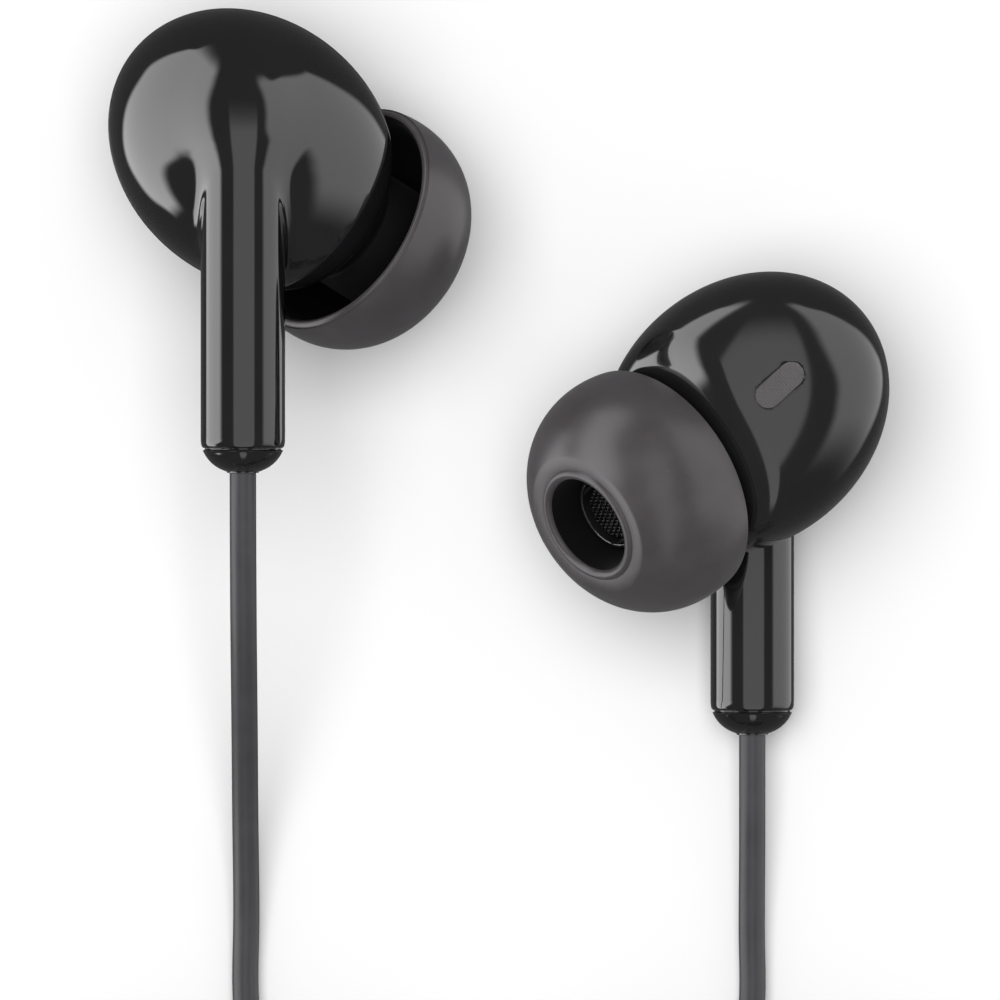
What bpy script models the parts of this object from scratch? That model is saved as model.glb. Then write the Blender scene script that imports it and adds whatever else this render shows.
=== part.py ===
"""Wired in-ear earphones, laid out on a table: two buds of one hand, one face up and one face down,
with their cords, in-line control, plug and the wound-up length of the cord. Metres, +Z up.

Each bud is drawn in its own frame, whose origin is the bottom of its stem: X across the face,
Y from the face towards the ear, Z up the stem. An empty turns that frame onto the table.
"""

import math

import bmesh
import bpy
import numpy as np
from mathutils import Matrix, Vector

MM = 0.001

# ---------------------------------------------------------------- driving dimensions
FIT_GAP = 0.3 * MM  # between pieces that touch, and round what slides
WALL = 0.9 * MM  # moulded walls of the bud

# layout of the two buds on the table
STEM_SPACING = 27.9 * MM
BUD_STAGGER = 14.4 * MM

# stem
STEM_RADIUS = 2.3 * MM
STEM_BORE_RADIUS = 1.5 * MM
STEM_AXIS_Y = -1.9 * MM
STEM_BORE_TOP = 14.5 * MM
STEM_CAP_HEIGHT = 1.2 * MM
STEM_END_ROUND_IN = 2.0 * MM  # the rounded end of the stem, across and along it
STEM_END_ROUND_UP = 1.86 * MM
STEM_CAP_SPIGOT = 2.0 * MM
STEM_CAP_LIP = 0.15 * MM  # of flat end round the cord

# head: an oval, its long axis tilted, split at a flat parting plane
HEAD_CENTRE_X = 0.45 * MM
HEAD_CENTRE_Z = 17.7 * MM
HEAD_LONG = 8.47 * MM  # half the long axis
HEAD_SHORT = 7.10 * MM
HEAD_TILT = math.radians(42.0)  # long axis below the horizontal, towards +X
HEAD_CENTRE_Y = 2.6 * MM  # where the head is widest
PARTING_Y = 1.0 * MM
FACE_DEPTH = 6.0 * MM  # from the widest place to the front of the face
BACK_DEPTH = 7.5 * MM
BACK_LEAN_X = -2.2 * MM  # where the deepest point of the back lies, from the head's centre
BACK_LEAN_Z = 1.0 * MM

# ridge where the stem runs up the face: height, half width, half depth, middle
RIDGE_SECTIONS = (
    (11.0 * MM, 2.30 * MM, 2.30 * MM, -1.90 * MM),
    (13.2 * MM, 2.45 * MM, 2.30 * MM, -1.90 * MM),
    (15.4 * MM, 2.85 * MM, 2.22 * MM, -1.86 * MM),
    (17.4 * MM, 3.15 * MM, 1.95 * MM, -1.80 * MM),
    (19.2 * MM, 2.90 * MM, 1.45 * MM, -1.75 * MM),
    (20.6 * MM, 2.10 * MM, 0.85 * MM, -1.75 * MM),
)

# nozzle: its axis, and the plane of the ear tip's rim on it
NOZZLE_AXIS = Vector((0.68, 0.60, -0.42)).normalized()
RIM_CENTRE = Vector((5.16 * MM, 4.30 * MM, 14.0 * MM))
NOZZLE_RADIUS = 2.15 * MM
NOZZLE_BARB_RADIUS = 2.45 * MM
NOZZLE_BARB_LENGTH = 1.7 * MM
NOZZLE_BORE_RADIUS = 1.40 * MM
NOZZLE_SCREEN_RADIUS = 1.60 * MM
NOZZLE_SCREEN_THICKNESS = 0.35 * MM
NOZZLE_LENGTH = 4.2 * MM
NOZZLE_SHOULDER_RADIUS = 3.4 * MM
NOZZLE_ROOT_RADIUS = 3.5 * MM
NOZZLE_ROOT_LENGTH = 1.0 * MM
TIP_SEAT_SLOPE = 0.20  # how far the housing falls back round the nozzle, per unit of radius
TIP_SEAT_RADIUS = 9.5 * MM

# ear tip
TIP_RADIUS = 6.8 * MM
TIP_LIP_RADIUS = 3.33 * MM
TIP_LENGTH = 6.0 * MM
TIP_WALL = 0.55 * MM
TIP_SLEEVE_WALL = 0.75 * MM
TIP_BELLY = 1.3 * MM  # height of the widest ring over the rim
TIP_RIM_DRAW = 0.15 * MM  # how far the rim is drawn in from the widest ring

# vent in the back of the head, along its long axis
VENT_X = -1.34 * MM
VENT_Z = 19.2 * MM
VENT_LENGTH = 3.1 * MM
VENT_WIDTH = 1.4 * MM
VENT_LEDGE = 0.35 * MM
VENT_MESH_THICKNESS = 0.3 * MM
VENT_PLATE_GAP = 0.15 * MM  # round the small plate in its pocket

# driver, on the head's centre line
DRIVER_RADIUS = 4.9 * MM
DRIVER_BACK_Y = 0.2 * MM
DRIVER_HEIGHT = 3.4 * MM
DRIVER_WALL = 0.45 * MM
MAGNET_RADIUS = 2.6 * MM
MAGNET_HEIGHT = 1.0 * MM
TOP_PLATE_HEIGHT = 0.5 * MM
VOICE_COIL_RADIUS = 3.35 * MM
VOICE_COIL_WALL = 0.3 * MM
VOICE_COIL_HEIGHT = 1.1 * MM
DIAPHRAGM_RADIUS = 4.1 * MM
DIAPHRAGM_WALL = 0.25 * MM
DIAPHRAGM_CROWN = 0.7 * MM
DRIVER_SEAT_RADIUS = 4.2 * MM
LEAD_DIAMETER = 0.8 * MM
ANCHOR_RADIUS = 1.15 * MM
ANCHOR_HEIGHT = 1.8 * MM

# cords
BRANCH_DIAMETER = 1.45 * MM
MAIN_DIAMETER = 2.0 * MM
COIL_GAP = 0.5 * MM  # between the turns
COIL_LAYERS = 4
LOOP_SEGMENTS = 24
BRANCH_COIL_RADIUS = 8.2 * MM  # at the middle of its turns
BRANCH_COIL_TURNS = 6.875
BRANCH_COIL_X = 16.0 * MM
BRANCH_COIL_Y = -48.5 * MM
MAIN_COIL_RADIUS = 12.0 * MM
MAIN_COIL_TURNS = 10.0 + 1.0 / 12.0
MAIN_COIL_X = 10.4 * MM
MAIN_COIL_Y = -88.0 * MM
CORD_STEP = 2.0  # diameters between the points of a free stretch

# the free stretches' own points, in millimetres, between what they leave and what they meet
LEFT_LEAD_ROUTE = (
    (-13.95, -8.9, 12.95),
    (-13.95, -14.0, 10.9),
    (-13.95, -20.0, 6.6),
    (-13.95, -26.0, 2.7),
    (-13.95, -31.0, 0.98),
    (-13.95, -34.8, 0.80),
    (-13.30, -37.6, 0.95),
    (-11.95, -39.2, 1.25),
)
RIGHT_LEAD_ROUTE = (
    (13.95, -23.4, 2.2),
    (13.95, -27.5, 1.5),
    (13.95, -31.5, 0.92),
    (13.95, -34.8, 0.80),
    (13.30, -37.6, 0.95),
    (11.95, -39.2, 1.25),
)
LEFT_TAIL_ROUTE = (
    (-11.2, -38.85, 6.9),
    (-7.8, -38.85, 5.3),
    (-5.0, -38.95, 3.9),
    (-2.65, -39.85, 3.0),
    (-1.5, -41.1, 2.6),
)
MAIN_LEAD_ROUTE = (
    (-0.1, -74.6, 2.4),
    (-0.65, -76.6, 2.1),
)
MAIN_TAIL_ROUTE = (
    (-4.75, -93.5, 9.0),
    (-4.75, -97.5, 7.4),
    (-4.75, -101.8, 5.9),
    (-5.75, -105.9, 4.9),
    (-8.7, -107.9, 3.9),
    (-11.6, -106.9, 3.2),
    (-12.55, -105.1, 3.0),
)

# ties round the coils
TIE_WALL = 0.5 * MM
TIE_WIDTH = 3.0 * MM

# in-line control where the two branches join
CONTROL_LENGTH = 22.0 * MM
CONTROL_WIDTH = 6.4 * MM
CONTROL_HEIGHT = 5.0 * MM
CONTROL_WALL = 0.8 * MM
CONTROL_FLOOR = 1.3 * MM
CONTROL_END_ROUND = 3.0 * MM
CONTROL_EDGE = 0.5 * MM
CONTROL_TOP_Y = -45.8 * MM
CONTROL_PARTING_Z = 2.3 * MM
BUTTON_RADIUS = 1.5 * MM
BUTTON_PROUD = 0.5 * MM
BUTTON_FLANGE_RADIUS = 2.1 * MM
BUTTON_FLANGE = 0.4 * MM
BUTTON_STEM_RADIUS = 0.9 * MM
BUTTON_TRAVEL = 0.25 * MM
BUTTON_SPACING = 5.4 * MM
BOARD_THICKNESS = 0.5 * MM
BOARD_MARGIN = 0.4 * MM
MICROPHONE_RADIUS = 1.1 * MM
MICROPHONE_HEIGHT = 0.9 * MM
MICROPHONE_HOLE = 0.45 * MM
MICROPHONE_Y = 8.3 * MM  # from the middle of the control
BRANCH_RELIEF_LENGTH = 3.0 * MM
BRANCH_PITCH = 2.3 * MM  # between the two branches where they enter
MAIN_RELIEF_LENGTH = 4.0 * MM
RELIEF_GRIP = 0.25 * MM  # of a relief's end round its cord

# plug
PLUG_X = -12.6 * MM
PLUG_REAR_Y = -103.2 * MM
PLUG_BODY_RADIUS = 3.0 * MM
PLUG_BODY_LENGTH = 14.5 * MM
PLUG_RELIEF_LENGTH = 8.0 * MM
PLUG_RELIEF_RADIUS = 2.1 * MM
CONTACT_RADIUS = 1.75 * MM
CONTACT_CORE_RADIUS = 0.95 * MM
CONTACT_COLLAR = 0.4 * MM
CONTACT_COLLAR_DROP = 0.04 * MM  # of a collar under the contacts' surface
CONTACT_GAP = 0.12 * MM
CONTACT_LENGTHS = (4.4 * MM, 1.9 * MM, 1.9 * MM)  # sleeve and the two rings, from the body
CONTACT_TIP_LENGTH = 3.4 * MM

HEAD_SEGMENTS = 28
HOLLOW_SEGMENTS = 20
TURNED_SEGMENTS = 20
SMALL_SEGMENTS = 14
AXIS_MERGE = 1e-5
BARELY = 0.02 * MM

MATERIALS = {
    "shell": ((0.020, 0.020, 0.022, 1.0), 0.12, 0.0),
    "inner_shell": ((0.025, 0.024, 0.026, 1.0), 0.22, 0.0),
    "silicone": ((0.075, 0.068, 0.072, 1.0), 0.55, 0.0),
    "metal_mesh": ((0.30, 0.29, 0.29, 1.0), 0.35, 1.0),
    "driver_steel": ((0.45, 0.45, 0.46, 1.0), 0.35, 1.0),
    "magnet": ((0.30, 0.30, 0.31, 1.0), 0.30, 1.0),
    "film": ((0.50, 0.45, 0.30, 1.0), 0.40, 0.0),
    "copper": ((0.70, 0.33, 0.18, 1.0), 0.30, 1.0),
    "cord": ((0.075, 0.075, 0.080, 1.0), 0.45, 0.0),
    "tie": ((0.03, 0.03, 0.03, 1.0), 0.60, 0.0),
    "board": ((0.02, 0.16, 0.07, 1.0), 0.50, 0.0),
    "contact": ((0.85, 0.72, 0.42, 1.0), 0.18, 1.0),
    "insulator": ((0.02, 0.02, 0.02, 1.0), 0.40, 0.0),
}


# ---------------------------------------------------------------- scene helpers
def clear_scene():
    for obj in list(bpy.data.objects):
        bpy.data.objects.remove(obj)


def new_collection(name):
    collection = bpy.data.collections.new(name)
    bpy.context.scene.collection.children.link(collection)
    return collection


def make_material(name):
    colour, roughness, metallic = MATERIALS[name]
    material = bpy.data.materials.get(name) or bpy.data.materials.new(name)
    material.use_nodes = True
    shader = material.node_tree.nodes["Principled BSDF"]
    shader.inputs["Base Color"].default_value = colour
    shader.inputs["Roughness"].default_value = roughness
    shader.inputs["Metallic"].default_value = metallic
    return material


clear_scene()
PARTS = new_collection("earphones")
CUTTERS = new_collection("earphone_cutters")


def make_empty(name, parent=None, matrix=None):
    empty = bpy.data.objects.new(name, None)
    PARTS.objects.link(empty)
    empty.parent = parent
    if matrix is not None:
        empty.matrix_local = matrix
    return empty


def add_part(name, data, material, parent=None):
    obj = bpy.data.objects.new(name, data)
    obj.data.materials.append(make_material(material))
    obj.parent = parent
    PARTS.objects.link(obj)
    return obj


def add_helper(name, data, parent=None):
    """A cutter, or a shape that a part is joined with. It isn't a part itself."""
    obj = bpy.data.objects.new(name, data)
    obj.parent = parent
    obj.hide_render = True
    obj.display_type = "WIRE"
    CUTTERS.objects.link(obj)
    return obj


def combine(target, other, operation):
    modifier = target.modifiers.new(operation.lower(), "BOOLEAN")
    modifier.operation = operation
    modifier.solver = "EXACT"
    modifier.object = other


def smooth(mesh, angle=35.0):
    mesh.shade_smooth()
    mesh.set_sharp_from_angle(angle=math.radians(angle))


def face_outwards(bm):
    bmesh.ops.recalc_face_normals(bm, faces=bm.faces)
    if bm.calc_volume(signed=True) < 0:
        bmesh.ops.reverse_faces(bm, faces=bm.faces)


def finish_bmesh(bm, name):
    face_outwards(bm)
    mesh = bpy.data.meshes.new(name)
    bm.to_mesh(mesh)
    bm.free()
    smooth(mesh)
    return mesh


# ---------------------------------------------------------------- shapes
def turned_mesh(name, profile, closed=False):
    """The edges of a (radius, height) profile, which a Screw modifier turns round Z.

    The profile runs down its outer side. A closed one goes on up its inner side.
    """
    points = [(radius, 0.0, height) for radius, height in profile]
    edges = [(i, i + 1) for i in range(len(points) - 1)]
    if closed:
        edges.append((len(points) - 1, 0))
    mesh = bpy.data.meshes.new(name)
    mesh.from_pydata(points, edges, [])
    return mesh


def screw(obj, segments):
    modifier = obj.modifiers.new("turn", "SCREW")
    modifier.steps = segments
    modifier.render_steps = segments
    modifier.use_merge_vertices = True
    modifier.merge_threshold = AXIS_MERGE
    modifier.use_smooth_shade = True
    return obj


def turned(name, profile, material, parent=None, segments=TURNED_SEGMENTS, closed=False):
    return screw(add_part(name, turned_mesh(name, profile, closed), material, parent), segments)


def turned_helper(name, profile, parent=None, segments=TURNED_SEGMENTS, closed=False):
    return screw(add_helper(name, turned_mesh(name, profile, closed), parent), segments)


def rod_profile(radius, bottom, top):
    return ((0.0, top), (radius, top), (radius, bottom), (0.0, bottom))


def ring_profile(inner, outer, bottom, top):
    return ((inner, top), (outer, top), (outer, bottom), (inner, bottom))


def loft_mesh(name, rings):
    """A closed skin through rings with the same number of points, capped at both ends."""
    bm = bmesh.new()
    loops = [[bm.verts.new(point) for point in ring] for ring in rings]
    count = len(loops[0])
    for low, high in zip(loops, loops[1:]):
        for i in range(count):
            j = (i + 1) % count
            bm.faces.new((low[i], low[j], high[j], high[i]))
    bm.faces.new(loops[0])
    bm.faces.new(loops[-1])
    return finish_bmesh(bm, name)


def oval_ring(centre, half_x, half_y, count):
    """Points round an ellipse that lies square to Z."""
    return [
        (
            centre[0] + half_x * math.cos(2 * math.pi * i / count),
            centre[1] + half_y * math.sin(2 * math.pi * i / count),
            centre[2],
        )
        for i in range(count)
    ]


def egg_mesh(name, inset, cut_y, side):
    """The head's egg on one side of a plane across Y: side is -1 for the face, 1 for the back.

    inset draws the egg in all round. The back's deepest point leans sideways.
    """
    segments = HOLLOW_SEGMENTS if inset else HEAD_SEGMENTS
    bm = bmesh.new()
    bmesh.ops.create_uvsphere(bm, u_segments=segments, v_segments=segments // 2, radius=1.0)
    cos_tilt = math.cos(HEAD_TILT)
    sin_tilt = math.sin(HEAD_TILT)
    for vert in bm.verts:
        along, across, deep = vert.co
        along *= HEAD_LONG - inset
        across *= HEAD_SHORT - inset
        lean = max(deep, 0.0) ** 2
        depth = BACK_DEPTH if deep > 0.0 else FACE_DEPTH
        vert.co = (
            HEAD_CENTRE_X + along * cos_tilt + across * sin_tilt + BACK_LEAN_X * lean,
            HEAD_CENTRE_Y + (depth - inset) * deep,
            HEAD_CENTRE_Z - along * sin_tilt + across * cos_tilt + BACK_LEAN_Z * lean,
        )
    cut = bmesh.ops.bisect_plane(
        bm,
        geom=bm.verts[:] + bm.edges[:] + bm.faces[:],
        dist=1e-6,
        plane_co=(0.0, cut_y, 0.0),
        plane_no=(0.0, -side, 0.0),
        clear_outer=True,
    )
    rim = [edge for edge in cut["geom_cut"] if isinstance(edge, bmesh.types.BMEdge)]
    bmesh.ops.contextual_create(bm, geom=rim)
    return finish_bmesh(bm, name)


def slot_outline(length, width, count=5):
    """The outline of a slot with round ends, long along X."""
    reach = length / 2 - width / 2
    points = []
    for side, start in ((1, -90.0), (-1, 90.0)):
        for i in range(count):
            angle = math.radians(start + 180.0 * i / (count - 1))
            points.append((side * reach + width / 2 * math.cos(angle), width / 2 * math.sin(angle)))
    return points


def outline_curve(name, outlines, thickness):
    """A flat outline, or one with holes, drawn round the XY plane and thickened both ways."""
    curve = bpy.data.curves.new(name, "CURVE")
    curve.dimensions = "2D"
    curve.fill_mode = "BOTH"
    curve.extrude = thickness / 2
    for outline in outlines:
        spline = curve.splines.new("POLY")
        spline.points.add(len(outline) - 1)
        for point, (x, y) in zip(spline.points, outline):
            point.co = (x, y, 0.0, 1.0)
        spline.use_cyclic_u = True
    return curve


def mesh_of_curve(name, curve, matrix=None):
    """The curve as a closed mesh, with its caps welded to its sides."""
    guide = bpy.data.objects.new(name + "_guide", curve)
    CUTTERS.objects.link(guide)
    if matrix is not None:
        guide.matrix_world = matrix
    bpy.context.view_layer.update()
    mesh = bpy.data.meshes.new_from_object(
        guide.evaluated_get(bpy.context.evaluated_depsgraph_get())
    )
    mesh.transform(guide.matrix_world)
    bpy.data.objects.remove(guide)
    bm = bmesh.new()
    bm.from_mesh(mesh)
    bmesh.ops.remove_doubles(bm, verts=bm.verts, dist=1e-6)
    face_outwards(bm)
    bm.to_mesh(mesh)
    bm.free()
    return mesh


# ---------------------------------------------------------------- cords
def unit(vector):
    return np.asarray(vector, float) / np.linalg.norm(vector)


def smooth_route(points, start_way, end_way, step):
    """Points a step apart on a cubic curve through the route's points, with its end directions set."""
    points = np.asarray(points, float)
    gaps = np.linalg.norm(np.diff(points, axis=0), axis=1)
    knots = np.concatenate([[0.0], np.cumsum(gaps)])
    count = len(points)
    system = np.zeros((count, count))
    target = np.zeros((count, 3))
    system[0, 0] = 1.0
    system[-1, -1] = 1.0
    target[0] = unit(start_way)
    target[-1] = unit(end_way)
    for i in range(1, count - 1):
        before = gaps[i - 1]
        after = gaps[i]
        system[i, i - 1] = after
        system[i, i] = 2.0 * (before + after)
        system[i, i + 1] = before
        slope_before = (points[i] - points[i - 1]) / before
        slope_after = (points[i + 1] - points[i]) / after
        target[i] = 3.0 * (after * slope_before + before * slope_after)
    slopes = np.linalg.solve(system, target)
    fine = []
    for i in range(count - 1):
        for t in np.linspace(0.0, 1.0, 40, endpoint=False):
            fine.append(
                (2 * t**3 - 3 * t**2 + 1) * points[i]
                + (t**3 - 2 * t**2 + t) * gaps[i] * slopes[i]
                + (3 * t**2 - 2 * t**3) * points[i + 1]
                + (t**3 - t**2) * gaps[i] * slopes[i + 1]
            )
    fine.append(points[-1])
    fine = np.array(fine)
    along = np.concatenate([[0.0], np.cumsum(np.linalg.norm(np.diff(fine, axis=0), axis=1))])
    spots = np.linspace(0.0, along[-1], max(3, round(along[-1] / step) + 1))
    return np.stack([np.interp(spots, along, fine[:, k]) for k in range(3)], axis=1)


def rise(x):
    x = min(max(x, 0.0), 1.0)
    return x * x * (3.0 - 2.0 * x)


def coil_outer_radius(radius, diameter, turns):
    """Of the cord's centre line in the outermost turn."""
    return radius + (diameter + COIL_GAP) * turns / COIL_LAYERS / 2


def coil_route(centre, radius, diameter, turns, start, way):
    """The turns of a coil: in and out again in layers, with a straight end at each side.

    start is the angle of the first turn's beginning, and way is 1 anticlockwise, -1 clockwise.
    """
    pitch = diameter + COIL_GAP
    per_layer = turns / COIL_LAYERS
    outer = coil_outer_radius(radius, diameter, turns)
    inner = outer - pitch * per_layer
    steps = round(turns * LOOP_SEGMENTS)
    points = []
    for i in range(steps + 1):
        turn = turns * i / steps
        layer = min(int(turn / per_layer), COIL_LAYERS - 1)
        within = turn - layer * per_layer
        distance = outer - pitch * within if layer % 2 == 0 else inner + pitch * within
        level = sum(
            rise((turn - reverse * per_layer + 0.25) / 0.5) for reverse in range(1, COIL_LAYERS)
        )
        angle = start + way * 2 * math.pi * turn
        points.append(
            (
                centre[0] + distance * math.cos(angle),
                centre[1] + distance * math.sin(angle),
                centre[2] + pitch * level,
            )
        )
    points = np.array(points)
    last = start + way * 2 * math.pi * turns
    first_way = way * np.array([-math.sin(start), math.cos(start), 0.0])
    last_way = way * np.array([-math.sin(last), math.cos(last), 0.0])
    return np.concatenate(
        [
            [points[0] - diameter * first_way],
            points,
            [points[-1] + diameter * last_way],
        ]
    )


def end_way(points, at_end):
    """The direction in which the cord runs on at one of its ends."""
    return unit(points[-1] - points[-2]) if at_end else unit(points[1] - points[0])


def route_length(points):
    return float(np.linalg.norm(np.diff(points, axis=0), axis=1).sum())


def least_gap(points, diameter):
    """The least clear distance between a coil's turns, over points more than half a turn apart."""
    gaps = []
    for i in range(len(points) - LOOP_SEGMENTS // 2):
        others = points[i + LOOP_SEGMENTS // 2 :]
        gaps.append(np.linalg.norm(others - points[i], axis=1).min())
    return min(gaps) - diameter


def cord(name, points, diameter, resolution=2, material="cord"):
    curve = bpy.data.curves.new(name, "CURVE")
    curve.dimensions = "3D"
    curve.bevel_depth = diameter / 2
    curve.bevel_resolution = resolution
    curve.use_fill_caps = True
    spline = curve.splines.new("POLY")
    spline.points.add(len(points) - 1)
    for point, place in zip(spline.points, points):
        point.co = (*place, 1.0)
    return add_part(name, curve, material)


# ---------------------------------------------------------------- bud
def tip_outer(height):
    """The ear tip's outer radius at a height over its rim."""
    if height < TIP_BELLY:
        return TIP_RADIUS - TIP_RIM_DRAW * (1.0 - height / TIP_BELLY) ** 2
    share = (height - TIP_BELLY) / (TIP_LENGTH - TIP_BELLY)
    return TIP_LIP_RADIUS + (TIP_RADIUS - TIP_LIP_RADIUS) * (1.0 - share**2.1) ** 0.62


def tip_profile():
    sleeve_inner = NOZZLE_BARB_RADIUS + FIT_GAP
    sleeve_outer = sleeve_inner + TIP_SLEEVE_WALL
    lip = (TIP_LIP_RADIUS - sleeve_inner) / 2
    outside = [
        (sleeve_inner, TIP_LENGTH - 1.6 * lip),
        (sleeve_inner + 0.35 * lip, TIP_LENGTH - 0.3 * lip),
    ]
    outside.append((TIP_LIP_RADIUS - lip, TIP_LENGTH + 0.15 * lip))
    outside.append((TIP_LIP_RADIUS - 0.2 * lip, TIP_LENGTH + 0.02 * lip))
    for share in (0.96, 0.86, 0.7, 0.5, 0.25, 0.0):
        height = TIP_BELLY + share * (TIP_LENGTH - TIP_BELLY)
        outside.append((tip_outer(height), height))
    rim = tip_outer(0.0)
    outside += [(rim, 0.1 * TIP_WALL), (rim - 0.5 * TIP_WALL, 0.0)]
    inside = [(rim - TIP_WALL, 0.2 * TIP_WALL)]
    for share in (0.1, 0.5, 0.75):
        height = TIP_BELLY + share * (TIP_LENGTH - TIP_BELLY - 1.6 * TIP_WALL)
        inside.append((tip_outer(height + 0.9 * TIP_WALL * share) - 1.15 * TIP_WALL, height))
    roof = TIP_LENGTH - 3.2 * TIP_WALL
    inside += [(sleeve_outer + 0.15 * MM, roof), (sleeve_outer, roof - 0.3 * MM)]
    inside += [(sleeve_outer, FIT_GAP), (sleeve_inner, FIT_GAP)]
    return outside + inside


def bud_reach():
    """How far the bud reaches towards the ear, to the ear tip's side or the back of the head."""
    lean = math.sqrt(1.0 - NOZZLE_AXIS.y**2)
    tip = max(
        RIM_CENTRE.y + height * NOZZLE_AXIS.y + radius * lean for radius, height in tip_profile()
    )
    return max(tip, HEAD_CENTRE_Y + BACK_DEPTH)


def stem_end_radius(height):
    """The stem's radius at a height over its rounded end."""
    if height >= STEM_END_ROUND_UP:
        return STEM_RADIUS
    share = 1.0 - height / STEM_END_ROUND_UP
    return STEM_RADIUS - STEM_END_ROUND_IN * (1.0 - math.sqrt(1.0 - share**2))


def ridge_rings(count):
    rings = []
    for height in (STEM_CAP_HEIGHT + FIT_GAP, STEM_END_ROUND_UP + FIT_GAP):
        radius = stem_end_radius(height)
        rings.append(oval_ring((0.0, STEM_AXIS_Y, height), radius, radius, count))
    for height, half_width, half_depth, middle in RIDGE_SECTIONS:
        rings.append(oval_ring((0.0, middle, height), half_width, half_depth, count))
    last_height, half_width, half_depth, middle = RIDGE_SECTIONS[-1]
    crown = last_height + half_depth / 2
    rings.append(oval_ring((0.0, middle, crown), half_width / 2, half_depth / 2, count))
    return rings


def make_outer_shell(side, frame):
    """The glossy face with the stem that runs up it, hollow, and a ring inside for the driver."""
    shell = add_part(side + "_outer_shell", egg_mesh("face", 0.0, PARTING_Y, -1), "shell", frame)
    stem = add_helper(side + "_stem_form", loft_mesh("stem", ridge_rings(TURNED_SEGMENTS)), frame)
    beyond = egg_mesh("face_hollow", WALL, PARTING_Y + BARELY, -1)
    hollow = add_helper(side + "_face_hollow", beyond, frame)
    on_stem = make_empty(
        side + "_stem_axis", frame, Matrix.Translation((0.0, STEM_AXIS_Y, 0.0))
    )
    bore = turned_helper(
        side + "_stem_bore", rod_profile(STEM_BORE_RADIUS, -WALL, STEM_BORE_TOP), on_stem, SMALL_SEGMENTS
    )
    seat_profile = ring_profile(
        DRIVER_SEAT_RADIUS - WALL,
        DRIVER_SEAT_RADIUS,
        DRIVER_BACK_Y - FIT_GAP - FACE_DEPTH / 3,
        DRIVER_BACK_Y - FIT_GAP,
    )
    seat = turned_helper(side + "_driver_seat", seat_profile, driver_axis(side, frame), closed=True)
    combine(shell, stem, "UNION")
    combine(shell, hollow, "DIFFERENCE")
    combine(shell, seat, "UNION")
    combine(shell, bore, "DIFFERENCE")
    return on_stem


def driver_axis(side, frame):
    """An empty on the head's centre line, whose Z runs from the face to the ear, from Y = 0."""
    name = side + "_driver_axis"
    if name in bpy.data.objects:
        return bpy.data.objects[name]
    turn = Matrix(((1, 0, 0, 0), (0, 0, 1, 0), (0, -1, 0, 0), (0, 0, 0, 1)))
    place = Matrix.Translation((HEAD_CENTRE_X, 0.0, HEAD_CENTRE_Z))
    return make_empty(name, frame, place @ turn)


def nozzle_frame(side, frame):
    """An empty on the nozzle's axis at the ear tip's rim, whose Z points out of the nozzle."""
    turn = NOZZLE_AXIS.to_track_quat("Z", "Y").to_matrix().to_4x4()
    return make_empty(side + "_nozzle_axis", frame, Matrix.Translation(RIM_CENTRE) @ turn)


def seat_cutter_profile(back):
    """What the ear tip needs clear round the nozzle: a cone that falls back from the shoulder."""
    fall = TIP_SEAT_SLOPE * (TIP_SEAT_RADIUS - NOZZLE_SHOULDER_RADIUS)
    top = 3 * TIP_LENGTH
    return (
        (0.0, top),
        (TIP_SEAT_RADIUS, top),
        (TIP_SEAT_RADIUS, -back - fall),
        (NOZZLE_SHOULDER_RADIUS, -back),
        (0.0, -back),
    )


def vent_frame(depth):
    """Where the vent lies: its X along the head's long axis, its Z towards the ear, at this Y."""
    cos_tilt = math.cos(HEAD_TILT)
    sin_tilt = math.sin(HEAD_TILT)
    return Matrix(
        (
            (cos_tilt, -sin_tilt, 0.0, VENT_X),
            (0.0, 0.0, 1.0, depth),
            (-sin_tilt, -cos_tilt, 0.0, VENT_Z),
            (0.0, 0.0, 0.0, 1.0),
        )
    )


def back_surface_y(x, z):
    """The depth of the back of the head under a point, to the leaning egg's surface."""
    low = 0.0
    high = 1.0
    cos_tilt = math.cos(HEAD_TILT)
    sin_tilt = math.sin(HEAD_TILT)
    for _ in range(40):
        deep = (low + high) / 2
        dx = x - HEAD_CENTRE_X - BACK_LEAN_X * deep**2
        dz = z - HEAD_CENTRE_Z - BACK_LEAN_Z * deep**2
        along = (dx * cos_tilt - dz * sin_tilt) / HEAD_LONG
        across = (dx * sin_tilt + dz * cos_tilt) / HEAD_SHORT
        inside = along**2 + across**2 + deep**2 < 1.0
        low, high = (deep, high) if inside else (low, deep)
    return HEAD_CENTRE_Y + BACK_DEPTH * low


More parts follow.
